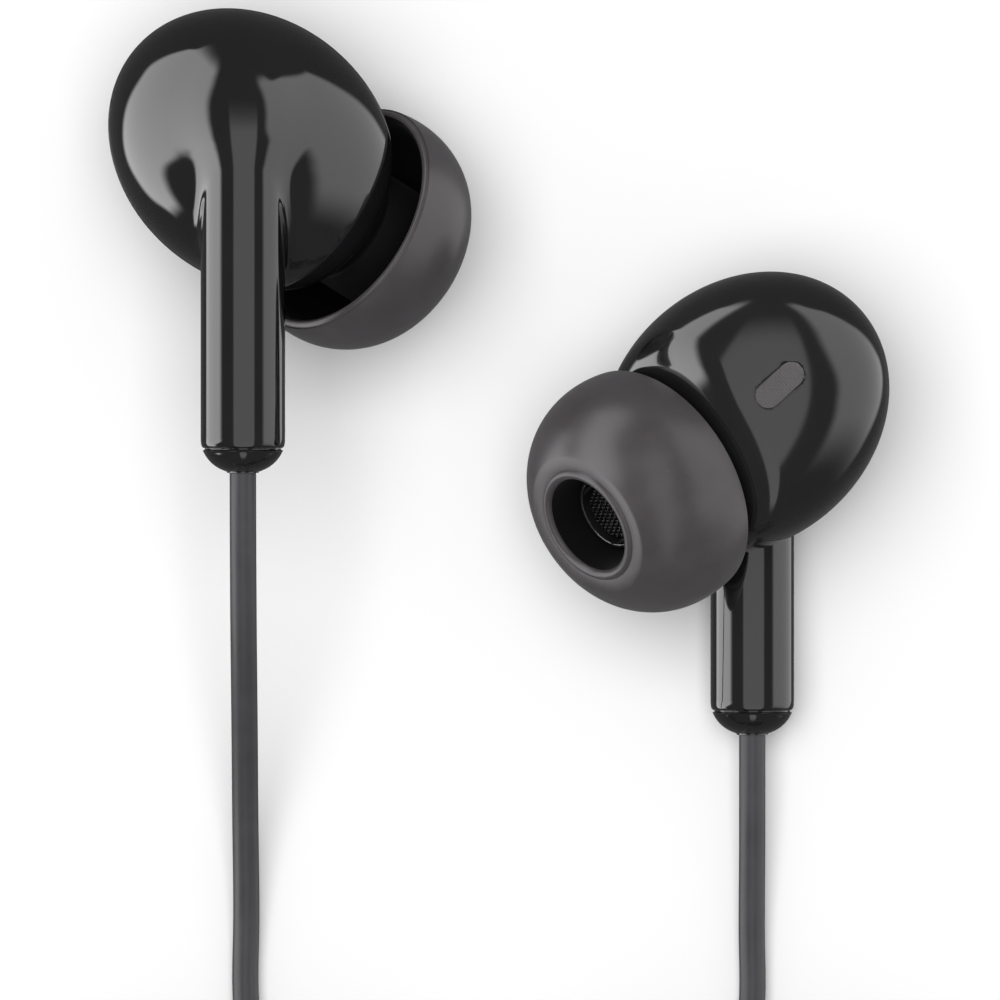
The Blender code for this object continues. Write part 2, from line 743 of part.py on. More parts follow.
def make_inner_shell(side, frame, on_nozzle):
    """The deep back of the head with the nozzle on it, hollow, bored and vented."""
    plane = PARTING_Y + FIT_GAP
    shell = add_part(side + "_inner_shell", egg_mesh("back", 0.0, plane, 1), "inner_shell", frame)
    seat = turned_helper(side + "_tip_seat", seat_cutter_profile(0.0), on_nozzle, HEAD_SEGMENTS)
    screen_seat = NOZZLE_LENGTH - WALL / 2 - NOZZLE_SCREEN_THICKNESS - FIT_GAP
    barb_foot = NOZZLE_LENGTH - NOZZLE_BARB_LENGTH
    spout = turned_helper(
        side + "_spout",
        (
            (0.0, NOZZLE_LENGTH),
            (NOZZLE_RADIUS, NOZZLE_LENGTH),
            (NOZZLE_BARB_RADIUS, NOZZLE_LENGTH - NOZZLE_BARB_LENGTH / 2),
            (NOZZLE_BARB_RADIUS, barb_foot),
            (NOZZLE_RADIUS, barb_foot - FIT_GAP),
            (NOZZLE_RADIUS, 0.0),
            (NOZZLE_SHOULDER_RADIUS, -BARELY),
            (NOZZLE_ROOT_RADIUS, -NOZZLE_ROOT_LENGTH),
            (0.0, -NOZZLE_ROOT_LENGTH),
        ),
        on_nozzle,
    )
    beyond = egg_mesh("back_hollow", WALL, plane - BARELY, 1)
    hollow = add_helper(side + "_back_hollow", beyond, frame)
    wall_seat = turned_helper(
        side + "_tip_seat_inside", seat_cutter_profile(WALL), on_nozzle, HEAD_SEGMENTS
    )
    bore = turned_helper(
        side + "_nozzle_bore",
        (
            (0.0, 2 * NOZZLE_LENGTH),
            (NOZZLE_SCREEN_RADIUS + FIT_GAP, 2 * NOZZLE_LENGTH),
            (NOZZLE_SCREEN_RADIUS + FIT_GAP, screen_seat),
            (NOZZLE_BORE_RADIUS, screen_seat),
            (NOZZLE_BORE_RADIUS, -2 * NOZZLE_ROOT_LENGTH),
            (0.0, -2 * NOZZLE_ROOT_LENGTH),
        ),
        on_nozzle,
        SMALL_SEGMENTS,
    )
    surface = back_surface_y(VENT_X, VENT_Z)
    through = slot_outline(VENT_LENGTH - 2 * VENT_LEDGE, VENT_WIDTH - 2 * VENT_LEDGE)
    pocket = slot_outline(VENT_LENGTH, VENT_WIDTH)
    ledge_y = surface - FIT_GAP - VENT_MESH_THICKNESS
    cutters = (("through", through, surface, 4 * WALL), ("pocket", pocket, ledge_y + WALL, 2 * WALL))
    combine(hollow, wall_seat, "DIFFERENCE")
    combine(shell, seat, "DIFFERENCE")
    combine(shell, spout, "UNION")
    combine(shell, hollow, "DIFFERENCE")
    combine(shell, bore, "DIFFERENCE")
    for name, outline, depth, thickness in cutters:
        curve = outline_curve(side + "_vent_" + name, [outline], thickness)
        mesh = mesh_of_curve(side + "_vent_" + name, curve, vent_frame(depth))
        combine(shell, add_helper(side + "_vent_" + name, mesh, frame), "DIFFERENCE")
    plate = slot_outline(VENT_LENGTH - 2 * VENT_PLATE_GAP, VENT_WIDTH - 2 * VENT_PLATE_GAP)
    plate_y = ledge_y + VENT_PLATE_GAP / 2 + VENT_MESH_THICKNESS / 2
    curve = outline_curve(side + "_vent_mesh", [plate], VENT_MESH_THICKNESS)
    mesh = mesh_of_curve(side + "_vent_mesh", curve, vent_frame(plate_y))
    add_part(side + "_vent_mesh", mesh, "metal_mesh", frame)
    screen = rod_profile(
        NOZZLE_SCREEN_RADIUS, screen_seat + FIT_GAP, screen_seat + FIT_GAP + NOZZLE_SCREEN_THICKNESS
    )
    turned(side + "_nozzle_screen", screen, "metal_mesh", on_nozzle, SMALL_SEGMENTS)


def make_driver(side, frame):
    """A moving-coil driver: cup, magnet, top plate, and the coil on its diaphragm."""
    axis = driver_axis(side, frame)
    base = DRIVER_BACK_Y
    floor = base + DRIVER_WALL
    top = base + DRIVER_HEIGHT
    inner = DRIVER_RADIUS - DRIVER_WALL
    cup = (
        (0.0, floor),
        (inner, floor),
        (inner, top),
        (DRIVER_RADIUS, top),
        (DRIVER_RADIUS, base),
        (0.0, base),
    )
    magnet_top = floor + FIT_GAP + MAGNET_HEIGHT
    plate_top = magnet_top + FIT_GAP + TOP_PLATE_HEIGHT
    film = plate_top + 3 * FIT_GAP
    crown = film + DIAPHRAGM_CROWN
    dome_edge = VOICE_COIL_RADIUS
    roll = (DIAPHRAGM_RADIUS + dome_edge) / 2
    diaphragm = (
        (0.0, crown),
        (0.55 * dome_edge, crown - 0.25 * DIAPHRAGM_CROWN),
        (dome_edge, film + DIAPHRAGM_WALL),
        (roll, film + 2 * DIAPHRAGM_WALL),
        (DIAPHRAGM_RADIUS, film + DIAPHRAGM_WALL),
        (DIAPHRAGM_RADIUS, film),
        (dome_edge - DIAPHRAGM_WALL, film),
        (0.55 * dome_edge, crown - 0.25 * DIAPHRAGM_CROWN - DIAPHRAGM_WALL),
        (0.0, crown - DIAPHRAGM_WALL),
    )
    coil_top = film - FIT_GAP / 2
    coil_profile = ring_profile(
        VOICE_COIL_RADIUS - VOICE_COIL_WALL, VOICE_COIL_RADIUS, coil_top - VOICE_COIL_HEIGHT, coil_top
    )
    magnet = rod_profile(MAGNET_RADIUS, floor + FIT_GAP, magnet_top)
    plate = rod_profile(MAGNET_RADIUS, magnet_top + FIT_GAP, plate_top)
    turned(side + "_driver_cup", cup, "driver_steel", axis)
    turned(side + "_driver_magnet", magnet, "magnet", axis, SMALL_SEGMENTS)
    turned(side + "_driver_top_plate", plate, "driver_steel", axis, SMALL_SEGMENTS)
    turned(side + "_driver_diaphragm", diaphragm, "film", axis, SMALL_SEGMENTS)
    turned(side + "_driver_voice_coil", coil_profile, "copper", axis, SMALL_SEGMENTS, closed=True)


def make_stem_end(side, frame, on_stem):
    """The cap that closes the stem, the cord's anchor above it, and the leads up to the driver."""
    spigot = STEM_BORE_RADIUS - FIT_GAP
    top = STEM_CAP_HEIGHT + STEM_CAP_SPIGOT
    profile = [(0.0, top), (spigot, top), (spigot, STEM_CAP_HEIGHT)]
    for share in (1.0, 0.6, 0.3, 0.12):
        height = share * STEM_CAP_HEIGHT
        profile.append((stem_end_radius(height), height))
    profile += [(BRANCH_DIAMETER / 2 + STEM_CAP_LIP, 0.0), (0.0, 0.0)]
    turned(side + "_stem_cap", profile, "shell", on_stem)
    anchor_foot = top + FIT_GAP
    anchor_top = anchor_foot + ANCHOR_HEIGHT
    anchor = rod_profile(ANCHOR_RADIUS, anchor_foot, anchor_top)
    turned(side + "_cord_anchor", anchor, "driver_steel", on_stem, SMALL_SEGMENTS)
    cup_edge = HEAD_CENTRE_Z - DRIVER_RADIUS - FIT_GAP
    route = (
        (0.0, STEM_AXIS_Y, anchor_top + FIT_GAP),
        (0.0, STEM_AXIS_Y, (anchor_top + cup_edge) / 2),
        (HEAD_CENTRE_X / 2, STEM_AXIS_Y + LEAD_DIAMETER / 2, cup_edge - LEAD_DIAMETER),
        (HEAD_CENTRE_X, DRIVER_BACK_Y - FIT_GAP - LEAD_DIAMETER / 2, cup_edge + 0.75 * LEAD_DIAMETER),
    )
    leads = smooth_route(route, (0, 0, 1), (0, 0, 1), 2 * LEAD_DIAMETER)
    cord(side + "_lead_wires", leads, LEAD_DIAMETER, 0, "copper").parent = frame


def make_bud(side, matrix):
    frame = make_empty(side + "_bud_frame", matrix=matrix)
    on_stem = make_outer_shell(side, frame)
    on_nozzle = nozzle_frame(side, frame)
    make_inner_shell(side, frame, on_nozzle)
    make_driver(side, frame)
    make_stem_end(side, frame, on_stem)
    turned(side + "_ear_tip", tip_profile(), "silicone", on_nozzle, HEAD_SEGMENTS, closed=True)


# ---------------------------------------------------------------- in-line control
def rounded_ring(half_length, half_width, corner, height, count=4):
    """A level ring: a rectangle with round corners, long along Y."""
    ring = []
    for corner_x, corner_y, start in ((1, -1, -90), (1, 1, 0), (-1, 1, 90), (-1, -1, 180)):
        for i in range(count + 1):
            angle = math.radians(start + 90.0 * i / count)
            ring.append(
                (
                    corner_x * (half_width - corner) + corner * math.cos(angle),
                    corner_y * (half_length - corner) + corner * math.sin(angle),
                    height,
                )
            )
    return ring


def control_ring(inset, height):
    return rounded_ring(
        CONTROL_LENGTH / 2 - inset, CONTROL_WIDTH / 2 - inset, CONTROL_END_ROUND - inset, height
    )


def control_block(name, levels):
    """A solid with the control's outline, from (inset, height) levels."""
    return loft_mesh(name, [control_ring(inset, height) for inset, height in levels])


def make_control():
    """Two half shells round a board, three buttons that press switches on it, and a microphone."""
    frame = make_empty(
        "control_frame",
        matrix=Matrix.Translation((0.0, CONTROL_TOP_Y - CONTROL_LENGTH / 2, 0.0)),
    )
    edge = CONTROL_EDGE
    parting = CONTROL_PARTING_Z
    ceiling = CONTROL_HEIGHT - CONTROL_WALL
    back = add_part(
        "control_back_shell",
        control_block("back_shell", ((edge, 0.0), (edge / 3, edge / 3), (0.0, edge), (0.0, parting))),
        "shell",
        frame,
    )
    back_hollow = add_helper(
        "control_back_hollow",
        control_block("back_hollow", ((CONTROL_WALL, CONTROL_FLOOR), (CONTROL_WALL, parting + WALL))),
        frame,
    )
    combine(back, back_hollow, "DIFFERENCE")
    foot = parting + FIT_GAP
    crown = CONTROL_HEIGHT
    front = add_part(
        "control_front_shell",
        control_block(
            "front_shell", ((0.0, foot), (0.0, crown - edge), (edge / 3, crown - edge / 3), (edge, crown))
        ),
        "shell",
        frame,
    )
    front_hollow = add_helper(
        "control_front_hollow",
        control_block("front_hollow", ((CONTROL_WALL, foot - WALL), (CONTROL_WALL, ceiling))),
        frame,
    )
    combine(front, front_hollow, "DIFFERENCE")
    board_foot = CONTROL_FLOOR + FIT_GAP
    board_top = board_foot + BOARD_THICKNESS
    inset = CONTROL_WALL + BOARD_MARGIN
    board = control_block("board", ((inset, board_foot), (inset, board_top)))
    add_part("control_board", board, "board", frame)
    flange_top = ceiling - FIT_GAP
    button = (
        (0.0, crown + BUTTON_PROUD),
        (0.8 * BUTTON_RADIUS, crown + BUTTON_PROUD),
        (BUTTON_RADIUS, crown + 0.6 * BUTTON_PROUD),
        (BUTTON_RADIUS, flange_top),
        (BUTTON_FLANGE_RADIUS, flange_top),
        (BUTTON_FLANGE_RADIUS, flange_top - BUTTON_FLANGE),
        (BUTTON_STEM_RADIUS, flange_top - BUTTON_FLANGE),
        (BUTTON_STEM_RADIUS, board_top + FIT_GAP + BUTTON_TRAVEL),
        (0.0, board_top + FIT_GAP + BUTTON_TRAVEL),
    )
    for name, place in (("volume_up", 1), ("play", 0), ("volume_down", -1)):
        spot = make_empty(
            name + "_axis", frame, Matrix.Translation((0.0, place * BUTTON_SPACING, 0.0))
        )
        turned(name + "_button", button, "shell", spot, SMALL_SEGMENTS)
        hole_profile = rod_profile(BUTTON_RADIUS + FIT_GAP, ceiling - WALL, crown + WALL)
        hole = turned_helper(name + "_hole", hole_profile, spot, SMALL_SEGMENTS)
        combine(front, hole, "DIFFERENCE")
    spot = make_empty("microphone_axis", frame, Matrix.Translation((0.0, MICROPHONE_Y, 0.0)))
    port = turned_helper(
        "microphone_port",
        rod_profile(MICROPHONE_HOLE, ceiling - WALL, crown + WALL),
        spot,
        SMALL_SEGMENTS // 2,
    )
    combine(front, port, "DIFFERENCE")
    capsule = rod_profile(
        MICROPHONE_RADIUS, board_top + FIT_GAP, board_top + FIT_GAP + MICROPHONE_HEIGHT
    )
    turned("microphone", capsule, "driver_steel", spot, SMALL_SEGMENTS)
    make_control_reliefs()


def along_y(name, x, y, z, forward=1):
    """An empty whose Z runs along world Y, or against it."""
    turn = Matrix.Rotation(math.radians(-90.0 * forward), 4, "X")
    return make_empty(name, matrix=Matrix.Translation((x, y, z)) @ turn)


def make_control_reliefs():
    """Tapered reliefs: a flat one for the two branches, a round one for the main cord."""
    middle = CONTROL_HEIGHT / 2
    at_top = along_y("branch_relief_axis", 0.0, CONTROL_TOP_Y + FIT_GAP, middle)
    end_z = BRANCH_DIAMETER / 2 + RELIEF_GRIP
    end_x = end_z + BRANCH_PITCH / 2
    rings = [
        oval_ring((0.0, 0.0, BRANCH_RELIEF_LENGTH * share), x, z, SMALL_SEGMENTS)
        for share, x, z in (
            (0.0, end_x + 2 * RELIEF_GRIP, end_z + 2 * RELIEF_GRIP),
            (0.5, end_x + RELIEF_GRIP, end_z + RELIEF_GRIP / 2),
            (1.0, end_x, end_z),
        )
    ]
    add_part("branch_relief", loft_mesh("branch_relief", rings), "silicone", at_top)
    bottom = CONTROL_TOP_Y - CONTROL_LENGTH - FIT_GAP
    at_bottom = along_y("main_relief_axis", 0.0, bottom, middle, -1)
    end = MAIN_DIAMETER / 2 + RELIEF_GRIP
    profile = (
        (0.0, MAIN_RELIEF_LENGTH),
        (end, MAIN_RELIEF_LENGTH),
        (end + RELIEF_GRIP, MAIN_RELIEF_LENGTH / 2),
        (end + 3 * RELIEF_GRIP, 0.0),
        (0.0, 0.0),
    )
    turned("main_relief", profile, "silicone", at_bottom, SMALL_SEGMENTS)


# ---------------------------------------------------------------- plug
def make_plug():
    """A four-contact plug: relief, body, and contacts on an insulating core with collars between."""
    axis = along_y("plug_axis", PLUG_X, PLUG_REAR_Y, PLUG_BODY_RADIUS)
    end = MAIN_DIAMETER / 2 + RELIEF_GRIP
    relief = (
        (0.0, PLUG_RELIEF_LENGTH),
        (PLUG_RELIEF_RADIUS, PLUG_RELIEF_LENGTH),
        (PLUG_RELIEF_RADIUS, 0.85 * PLUG_RELIEF_LENGTH),
        ((PLUG_RELIEF_RADIUS + end) / 2, 0.4 * PLUG_RELIEF_LENGTH),
        (end, 0.0),
        (0.0, 0.0),
    )
    turned("plug_relief", relief, "silicone", axis, SMALL_SEGMENTS)
    foot = PLUG_RELIEF_LENGTH + FIT_GAP
    top = foot + PLUG_BODY_LENGTH
    edge = PLUG_BODY_RADIUS - PLUG_RELIEF_RADIUS
    body = (
        (0.0, top),
        (PLUG_BODY_RADIUS - edge / 2, top),
        (PLUG_BODY_RADIUS, top - edge / 2),
        (PLUG_BODY_RADIUS, foot + 2 * edge),
        (PLUG_RELIEF_RADIUS + 0.4 * edge, foot + 0.4 * edge),
        (PLUG_RELIEF_RADIUS, foot),
        (0.0, foot),
    )
    turned("plug_body", body, "shell", axis, TURNED_SEGMENTS)
    contact_foot = top + FIT_GAP
    inner = CONTACT_CORE_RADIUS + FIT_GAP
    core = [(0.0, contact_foot), (CONTACT_CORE_RADIUS, contact_foot)]
    collar_radius = CONTACT_RADIUS - CONTACT_COLLAR_DROP
    for name, length in zip(("plug_sleeve", "plug_ring_2", "plug_ring_1"), CONTACT_LENGTHS):
        profile = ring_profile(inner, CONTACT_RADIUS, contact_foot, contact_foot + length)
        turned(name, profile, "contact", axis, SMALL_SEGMENTS, closed=True)
        collar = contact_foot + length + CONTACT_GAP
        core += [
            (CONTACT_CORE_RADIUS, collar),
            (collar_radius, collar),
            (collar_radius, collar + CONTACT_COLLAR),
            (CONTACT_CORE_RADIUS, collar + CONTACT_COLLAR),
        ]
        contact_foot = collar + CONTACT_COLLAR + CONTACT_GAP
    core = core[:-1] + [(0.0, core[-1][1])]
    turned("plug_insulator", core[::-1], "insulator", axis, SMALL_SEGMENTS)
    tip_top = contact_foot + CONTACT_TIP_LENGTH
    tip = (
        (0.0, tip_top),
        (0.3 * CONTACT_RADIUS, tip_top - 0.04 * CONTACT_TIP_LENGTH),
        (0.92 * CONTACT_RADIUS, tip_top - 0.42 * CONTACT_TIP_LENGTH),
        (CONTACT_RADIUS, tip_top - 0.52 * CONTACT_TIP_LENGTH),
        (0.68 * CONTACT_RADIUS, tip_top - 0.75 * CONTACT_TIP_LENGTH),
        (0.68 * CONTACT_RADIUS, tip_top - 0.85 * CONTACT_TIP_LENGTH),
        (CONTACT_RADIUS, contact_foot + 0.08 * CONTACT_TIP_LENGTH),
        (CONTACT_RADIUS, contact_foot),
        (0.0, contact_foot),
    )
    turned("plug_tip", tip, "contact", axis, SMALL_SEGMENTS)


# ---------------------------------------------------------------- cords and coils
def make_tie(name, centre, radius, diameter, turns, angle):
    """A band round a coil's bundle of turns, under it too, so the coil lies clear of the table."""
    pitch = diameter + COIL_GAP
    outer = coil_outer_radius(radius, diameter, turns)
    inner = outer - pitch * turns / COIL_LAYERS
    bend = TIE_WIDTH**2 / 8 / (inner - diameter / 2)
    left = inner - diameter / 2 - bend - FIT_GAP
    right = outer + diameter / 2 + FIT_GAP
    bottom = centre[2] - diameter / 2 - FIT_GAP
    top = bottom + (COIL_LAYERS - 1) * pitch + diameter + 2 * FIT_GAP
    outlines = []
    for grow in (TIE_WALL, 0.0):
        corner = diameter / 2 + grow
        half_long = (top - bottom) / 2 + grow
        half_wide = (right - left) / 2 + grow
        ring = rounded_ring(half_long, half_wide, corner, 0.0, 3)
        outlines.append([(x + (left + right) / 2, y + (top + bottom) / 2) for x, y, _ in ring])
    cos_angle = math.cos(angle)
    sin_angle = math.sin(angle)
    matrix = Matrix(
        (
            (cos_angle, 0.0, sin_angle, centre[0]),
            (sin_angle, 0.0, -cos_angle, centre[1]),
            (0.0, 1.0, 0.0, 0.0),
            (0.0, 0.0, 0.0, 1.0),
        )
    )
    curve = outline_curve(name, outlines, TIE_WIDTH)
    add_part(name, mesh_of_curve(name, curve, matrix), "tie")


def millimetres(route):
    return [tuple(MM * value for value in point) for point in route]


def mirrored(route):
    return [(-x, y, z) for x, y, z in route]


def make_branch(side, start, lead_route, tail_route, mirror):
    """One branch: from its stem to its coil, the coil, and on to the control."""
    centre = (-mirror * BRANCH_COIL_X, BRANCH_COIL_Y, TIE_WALL + FIT_GAP + BRANCH_DIAMETER / 2)
    first_angle = math.radians(45.0 if mirror > 0 else 135.0)
    turns = coil_route(
        centre, BRANCH_COIL_RADIUS, BRANCH_DIAMETER, BRANCH_COIL_TURNS, first_angle, -mirror
    )
    way_in = end_way(turns, False)
    way_out = end_way(turns, True)
    lead = [start, *millimetres(lead_route), tuple(turns[0] - FIT_GAP * way_in)]
    finish = (
        -mirror * BRANCH_PITCH / 2,
        CONTROL_TOP_Y + 2 * FIT_GAP + BRANCH_RELIEF_LENGTH,
        CONTROL_HEIGHT / 2,
    )
    tail = [tuple(turns[-1] + FIT_GAP * way_out), *millimetres(tail_route), finish]
    step = CORD_STEP * BRANCH_DIAMETER
    lead_points = smooth_route(lead, (0, -1, 0), way_in, step)
    tail_points = smooth_route(tail, way_out, (0, -1, 0), step)
    cord(side + "_cord", lead_points, BRANCH_DIAMETER)
    cord(side + "_cord_coil", turns, BRANCH_DIAMETER, 1)
    cord(side + "_cord_tail", tail_points, BRANCH_DIAMETER)
    tie_angle = math.radians(225.0 if mirror > 0 else -45.0)
    make_tie(
        side + "_cord_tie", centre, BRANCH_COIL_RADIUS, BRANCH_DIAMETER, BRANCH_COIL_TURNS, tie_angle
    )
    report_cord(side + " branch", (lead_points, turns, tail_points), turns, BRANCH_DIAMETER)


def make_main_cord():
    centre = (MAIN_COIL_X, MAIN_COIL_Y, TIE_WALL + FIT_GAP + MAIN_DIAMETER / 2)
    turns = coil_route(
        centre, MAIN_COIL_RADIUS, MAIN_DIAMETER, MAIN_COIL_TURNS, math.radians(150.0), 1
    )
    way_in = end_way(turns, False)
    way_out = end_way(turns, True)
    start = (
        0.0,
        CONTROL_TOP_Y - CONTROL_LENGTH - 2 * FIT_GAP - MAIN_RELIEF_LENGTH,
        CONTROL_HEIGHT / 2,
    )
    finish = (PLUG_X, PLUG_REAR_Y - FIT_GAP, PLUG_BODY_RADIUS)
    lead = [start, *millimetres(MAIN_LEAD_ROUTE), tuple(turns[0] - FIT_GAP * way_in)]
    tail = [tuple(turns[-1] + FIT_GAP * way_out), *millimetres(MAIN_TAIL_ROUTE), finish]
    step = CORD_STEP * MAIN_DIAMETER
    lead_points = smooth_route(lead, (0, -1, 0), way_in, step)
    tail_points = smooth_route(tail, way_out, (0, 1, 0), step)
    cord("main_cord", lead_points, MAIN_DIAMETER)
    cord("main_cord_coil", turns, MAIN_DIAMETER, 1)
    cord("main_cord_tail", tail_points, MAIN_DIAMETER)
    make_tie(
        "main_cord_tie", centre, MAIN_COIL_RADIUS, MAIN_DIAMETER, MAIN_COIL_TURNS, math.radians(60.0)
    )
    report_cord("main cord", (lead_points, turns, tail_points), turns, MAIN_DIAMETER)


def report_cord(name, stretches, turns, diameter):
    total = sum(route_length(points) for points in stretches)
    gap = least_gap(turns, diameter)
    print(f"{name}: {total:.4f} m long, least gap between turns {gap / MM:.3f} mm")


# ---------------------------------------------------------------- the whole
def head_top():
    """The height of the head's top over the bottom of the stem."""
    reach = math.hypot(HEAD_LONG * math.sin(HEAD_TILT), HEAD_SHORT * math.cos(HEAD_TILT))
    return HEAD_CENTRE_Z + reach


def main():
    left_place = Vector((-STEM_SPACING / 2, (BUD_STAGGER - head_top()) / 2, bud_reach()))
    right_place = Vector(
        (STEM_SPACING / 2, (-BUD_STAGGER - head_top()) / 2, STEM_RADIUS - STEM_AXIS_Y)
    )
    face_up = Matrix(((1, 0, 0), (0, 0, 1), (0, -1, 0))).to_4x4()
    face_down = Matrix(((-1, 0, 0), (0, 0, 1), (0, 1, 0))).to_4x4()
    make_bud("left", Matrix.Translation(left_place) @ face_up)
    make_bud("right", Matrix.Translation(right_place) @ face_down)
    exit_gap = Vector((0.0, -FIT_GAP, 0.0))
    left_start = left_place + Vector((0.0, 0.0, -STEM_AXIS_Y)) + exit_gap
    right_start = right_place + Vector((0.0, 0.0, STEM_AXIS_Y)) + exit_gap
    right_tail_route = mirrored(LEFT_TAIL_ROUTE)
    make_branch("left", tuple(left_start), LEFT_LEAD_ROUTE, LEFT_TAIL_ROUTE, 1)
    make_branch("right", tuple(right_start), RIGHT_LEAD_ROUTE, right_tail_route, -1)
    make_control()
    make_main_cord()
    make_plug()


main()
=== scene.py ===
"""Wired in-ear earphones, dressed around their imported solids.

Two stemmed oval buds lie on a pale table, one face up and one face down. Their cords run down to
neat coils, an in-line control and a slim plug.
"""

import enum
import logging
import math
from collections.abc import Callable, Sequence
from dataclasses import dataclass

import bpy
import numpy as np
from mathutils import Matrix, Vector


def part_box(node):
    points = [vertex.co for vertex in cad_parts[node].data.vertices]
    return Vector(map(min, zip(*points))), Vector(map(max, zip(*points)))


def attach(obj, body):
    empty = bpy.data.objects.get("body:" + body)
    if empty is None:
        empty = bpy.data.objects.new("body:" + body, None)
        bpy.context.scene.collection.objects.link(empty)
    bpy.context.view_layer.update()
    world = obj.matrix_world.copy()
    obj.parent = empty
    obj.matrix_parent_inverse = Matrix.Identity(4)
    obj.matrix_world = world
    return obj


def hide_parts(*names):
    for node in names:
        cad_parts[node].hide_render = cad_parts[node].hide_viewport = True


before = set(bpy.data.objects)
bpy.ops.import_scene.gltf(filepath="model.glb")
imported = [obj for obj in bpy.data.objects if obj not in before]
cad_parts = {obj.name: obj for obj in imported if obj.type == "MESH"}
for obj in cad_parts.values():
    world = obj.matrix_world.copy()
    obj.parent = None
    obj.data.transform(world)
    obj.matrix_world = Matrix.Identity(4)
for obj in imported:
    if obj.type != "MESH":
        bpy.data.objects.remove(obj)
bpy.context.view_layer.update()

LOG = logging.getLogger("earphones")
MM = 0.001
ROOT_BODY = "earphones"
PLUG_FOOT = (-12.6, -103.2, 3.0)

Points = np.ndarray
Field = Callable[[Points], Points]
Colour = tuple[float, float, float]
Route = Sequence[tuple[float, float, float]]


class Side(enum.Enum):
    """Which bud: the left one lies face up, the right one face down."""

    LEFT = "left"
    RIGHT = "right"


class FarEnd(enum.Enum):
    OBJECT = "object"
    PLUG = "plug"


# ---------------------------------------------------------------- material building
class Shader:
    """A node material under construction, round one Principled BSDF.

    Args:
        name: the material's name.
    """

    def __init__(self, name: str) -> None:
        self.material = bpy.data.materials.new(name)
        self.material.use_nodes = True
        self.tree = self.material.node_tree
        self.surface = self.tree.nodes["Principled BSDF"]
        self.place = self.node("ShaderNodeTexCoord").outputs["Object"]

    def node(self, kind: str, **values: object) -> bpy.types.Node:
        """Adds a node and sets its properties."""
        made = self.tree.nodes.new(kind)
        for key, value in values.items():
            setattr(made, key, value)
        return made

    def set(self, **values: object) -> None:
        """Sets constants on the Principled BSDF's own sockets, underscores standing for spaces."""
        for key, value in values.items():
            self.surface.inputs[key.replace("_", " ")].default_value = value

    def link(self, source: bpy.types.NodeSocket, target: bpy.types.NodeSocket) -> None:
        """Joins two sockets."""
        self.tree.links.new(source, target)

    def noise(self, size: float, detail: float = 2.0, rough: float = 0.5) -> bpy.types.NodeSocket:
        """Noise on Object coordinates.

        Args:
            size: the width of its features, in metres.
            detail: how many finer layers it has.
            rough: how strong these are.

        Returns:
            Its value, from 0 to 1.
        """
        made = self.node("ShaderNodeTexNoise")
        made.inputs["Scale"].default_value = 1.0 / size
        made.inputs["Detail"].default_value = detail
        made.inputs["Roughness"].default_value = rough
        self.link(self.place, made.inputs["Vector"])
        return made.outputs["Fac"]

    def spread(
        self, value: bpy.types.NodeSocket, low: float, high: float, start: float = 0.3, end: float = 0.7
    ) -> bpy.types.NodeSocket:
        """Maps a value's range from start to end onto low to high."""
        made = self.node("ShaderNodeMapRange")
        for key, number in (("From Min", start), ("From Max", end), ("To Min", low), ("To Max", high)):
            made.inputs[key].default_value = number
        self.link(value, made.inputs["Value"])
        return made.outputs["Result"]

    def blend(self, value: bpy.types.NodeSocket, first: Colour, second: Colour) -> bpy.types.NodeSocket:
        """Mixes two colours by a value."""
        made = self.node("ShaderNodeMix", data_type="RGBA")
        self.link(value, made.inputs["Factor"])
        made.inputs[6].default_value = (*first, 1.0)
        made.inputs[7].default_value = (*second, 1.0)
        return made.outputs[2]

    def colour(self, socket: bpy.types.NodeSocket) -> None:
        """Gives the surface this colour."""
        self.link(socket, self.surface.inputs["Base Color"])

    def roughness(self, socket: bpy.types.NodeSocket) -> None:
        """Gives the surface this roughness."""
        self.link(socket, self.surface.inputs["Roughness"])

    def bump(self, layers: Sequence[tuple[bpy.types.NodeSocket, float]]) -> None:
        """Raises the surface by layers of (height, depth in metres), laid on each other."""
        below = None
        for height, depth in layers:
            made = self.node("ShaderNodeBump")
            made.inputs["Distance"].default_value = depth
            made.inputs["Strength"].default_value = 1.0
            self.link(height, made.inputs["Height"])
            if below is not None:
                self.link(below, made.inputs["Normal"])
            below = made.outputs["Normal"]
        self.link(below, self.surface.inputs["Normal"])


@dataclass(frozen=True)
class Moulded:
    """Moulded plastic, from piano gloss to fine matt.

    Attributes:
        name: the material's name.
        tone: its colour.
        rough: the lowest and highest roughness, which patches of handling spread between.
        specular: the specular level.
        coat: the weight of the clear top layer.
        swell: the height of the long ripples left by the mould.
        grain: the height of the fine texture.
        grain_size: its width.
    """

    name: str
    tone: Colour
    rough: tuple[float, float]
    specular: float = 0.5
    coat: float = 0.0
    swell: float = 0.0
    grain: float = 0.0
    grain_size: float = 0.08 * MM

    def material(self) -> bpy.types.Material:
        """Builds the material."""
        shader = Shader(self.name)
        patches = shader.noise(4.0 * MM, 4.0, 0.6)
        darker = tuple(0.8 * part for part in self.tone)
        shader.colour(shader.blend(shader.spread(patches, 0.0, 1.0), darker, self.tone))
        shader.roughness(shader.spread(patches, *self.rough))
        shader.set(Specular_IOR_Level=self.specular, Coat_Weight=self.coat, Coat_Roughness=0.03)
        layers = [(shader.noise(2.6 * MM, 0.0), self.swell)] if self.swell else []
        layers += [(shader.noise(self.grain_size, 2.0), self.grain)] if self.grain else []
        shader.bump(layers or [(shader.noise(0.2 * MM), 1e-7)])
        return shader.material


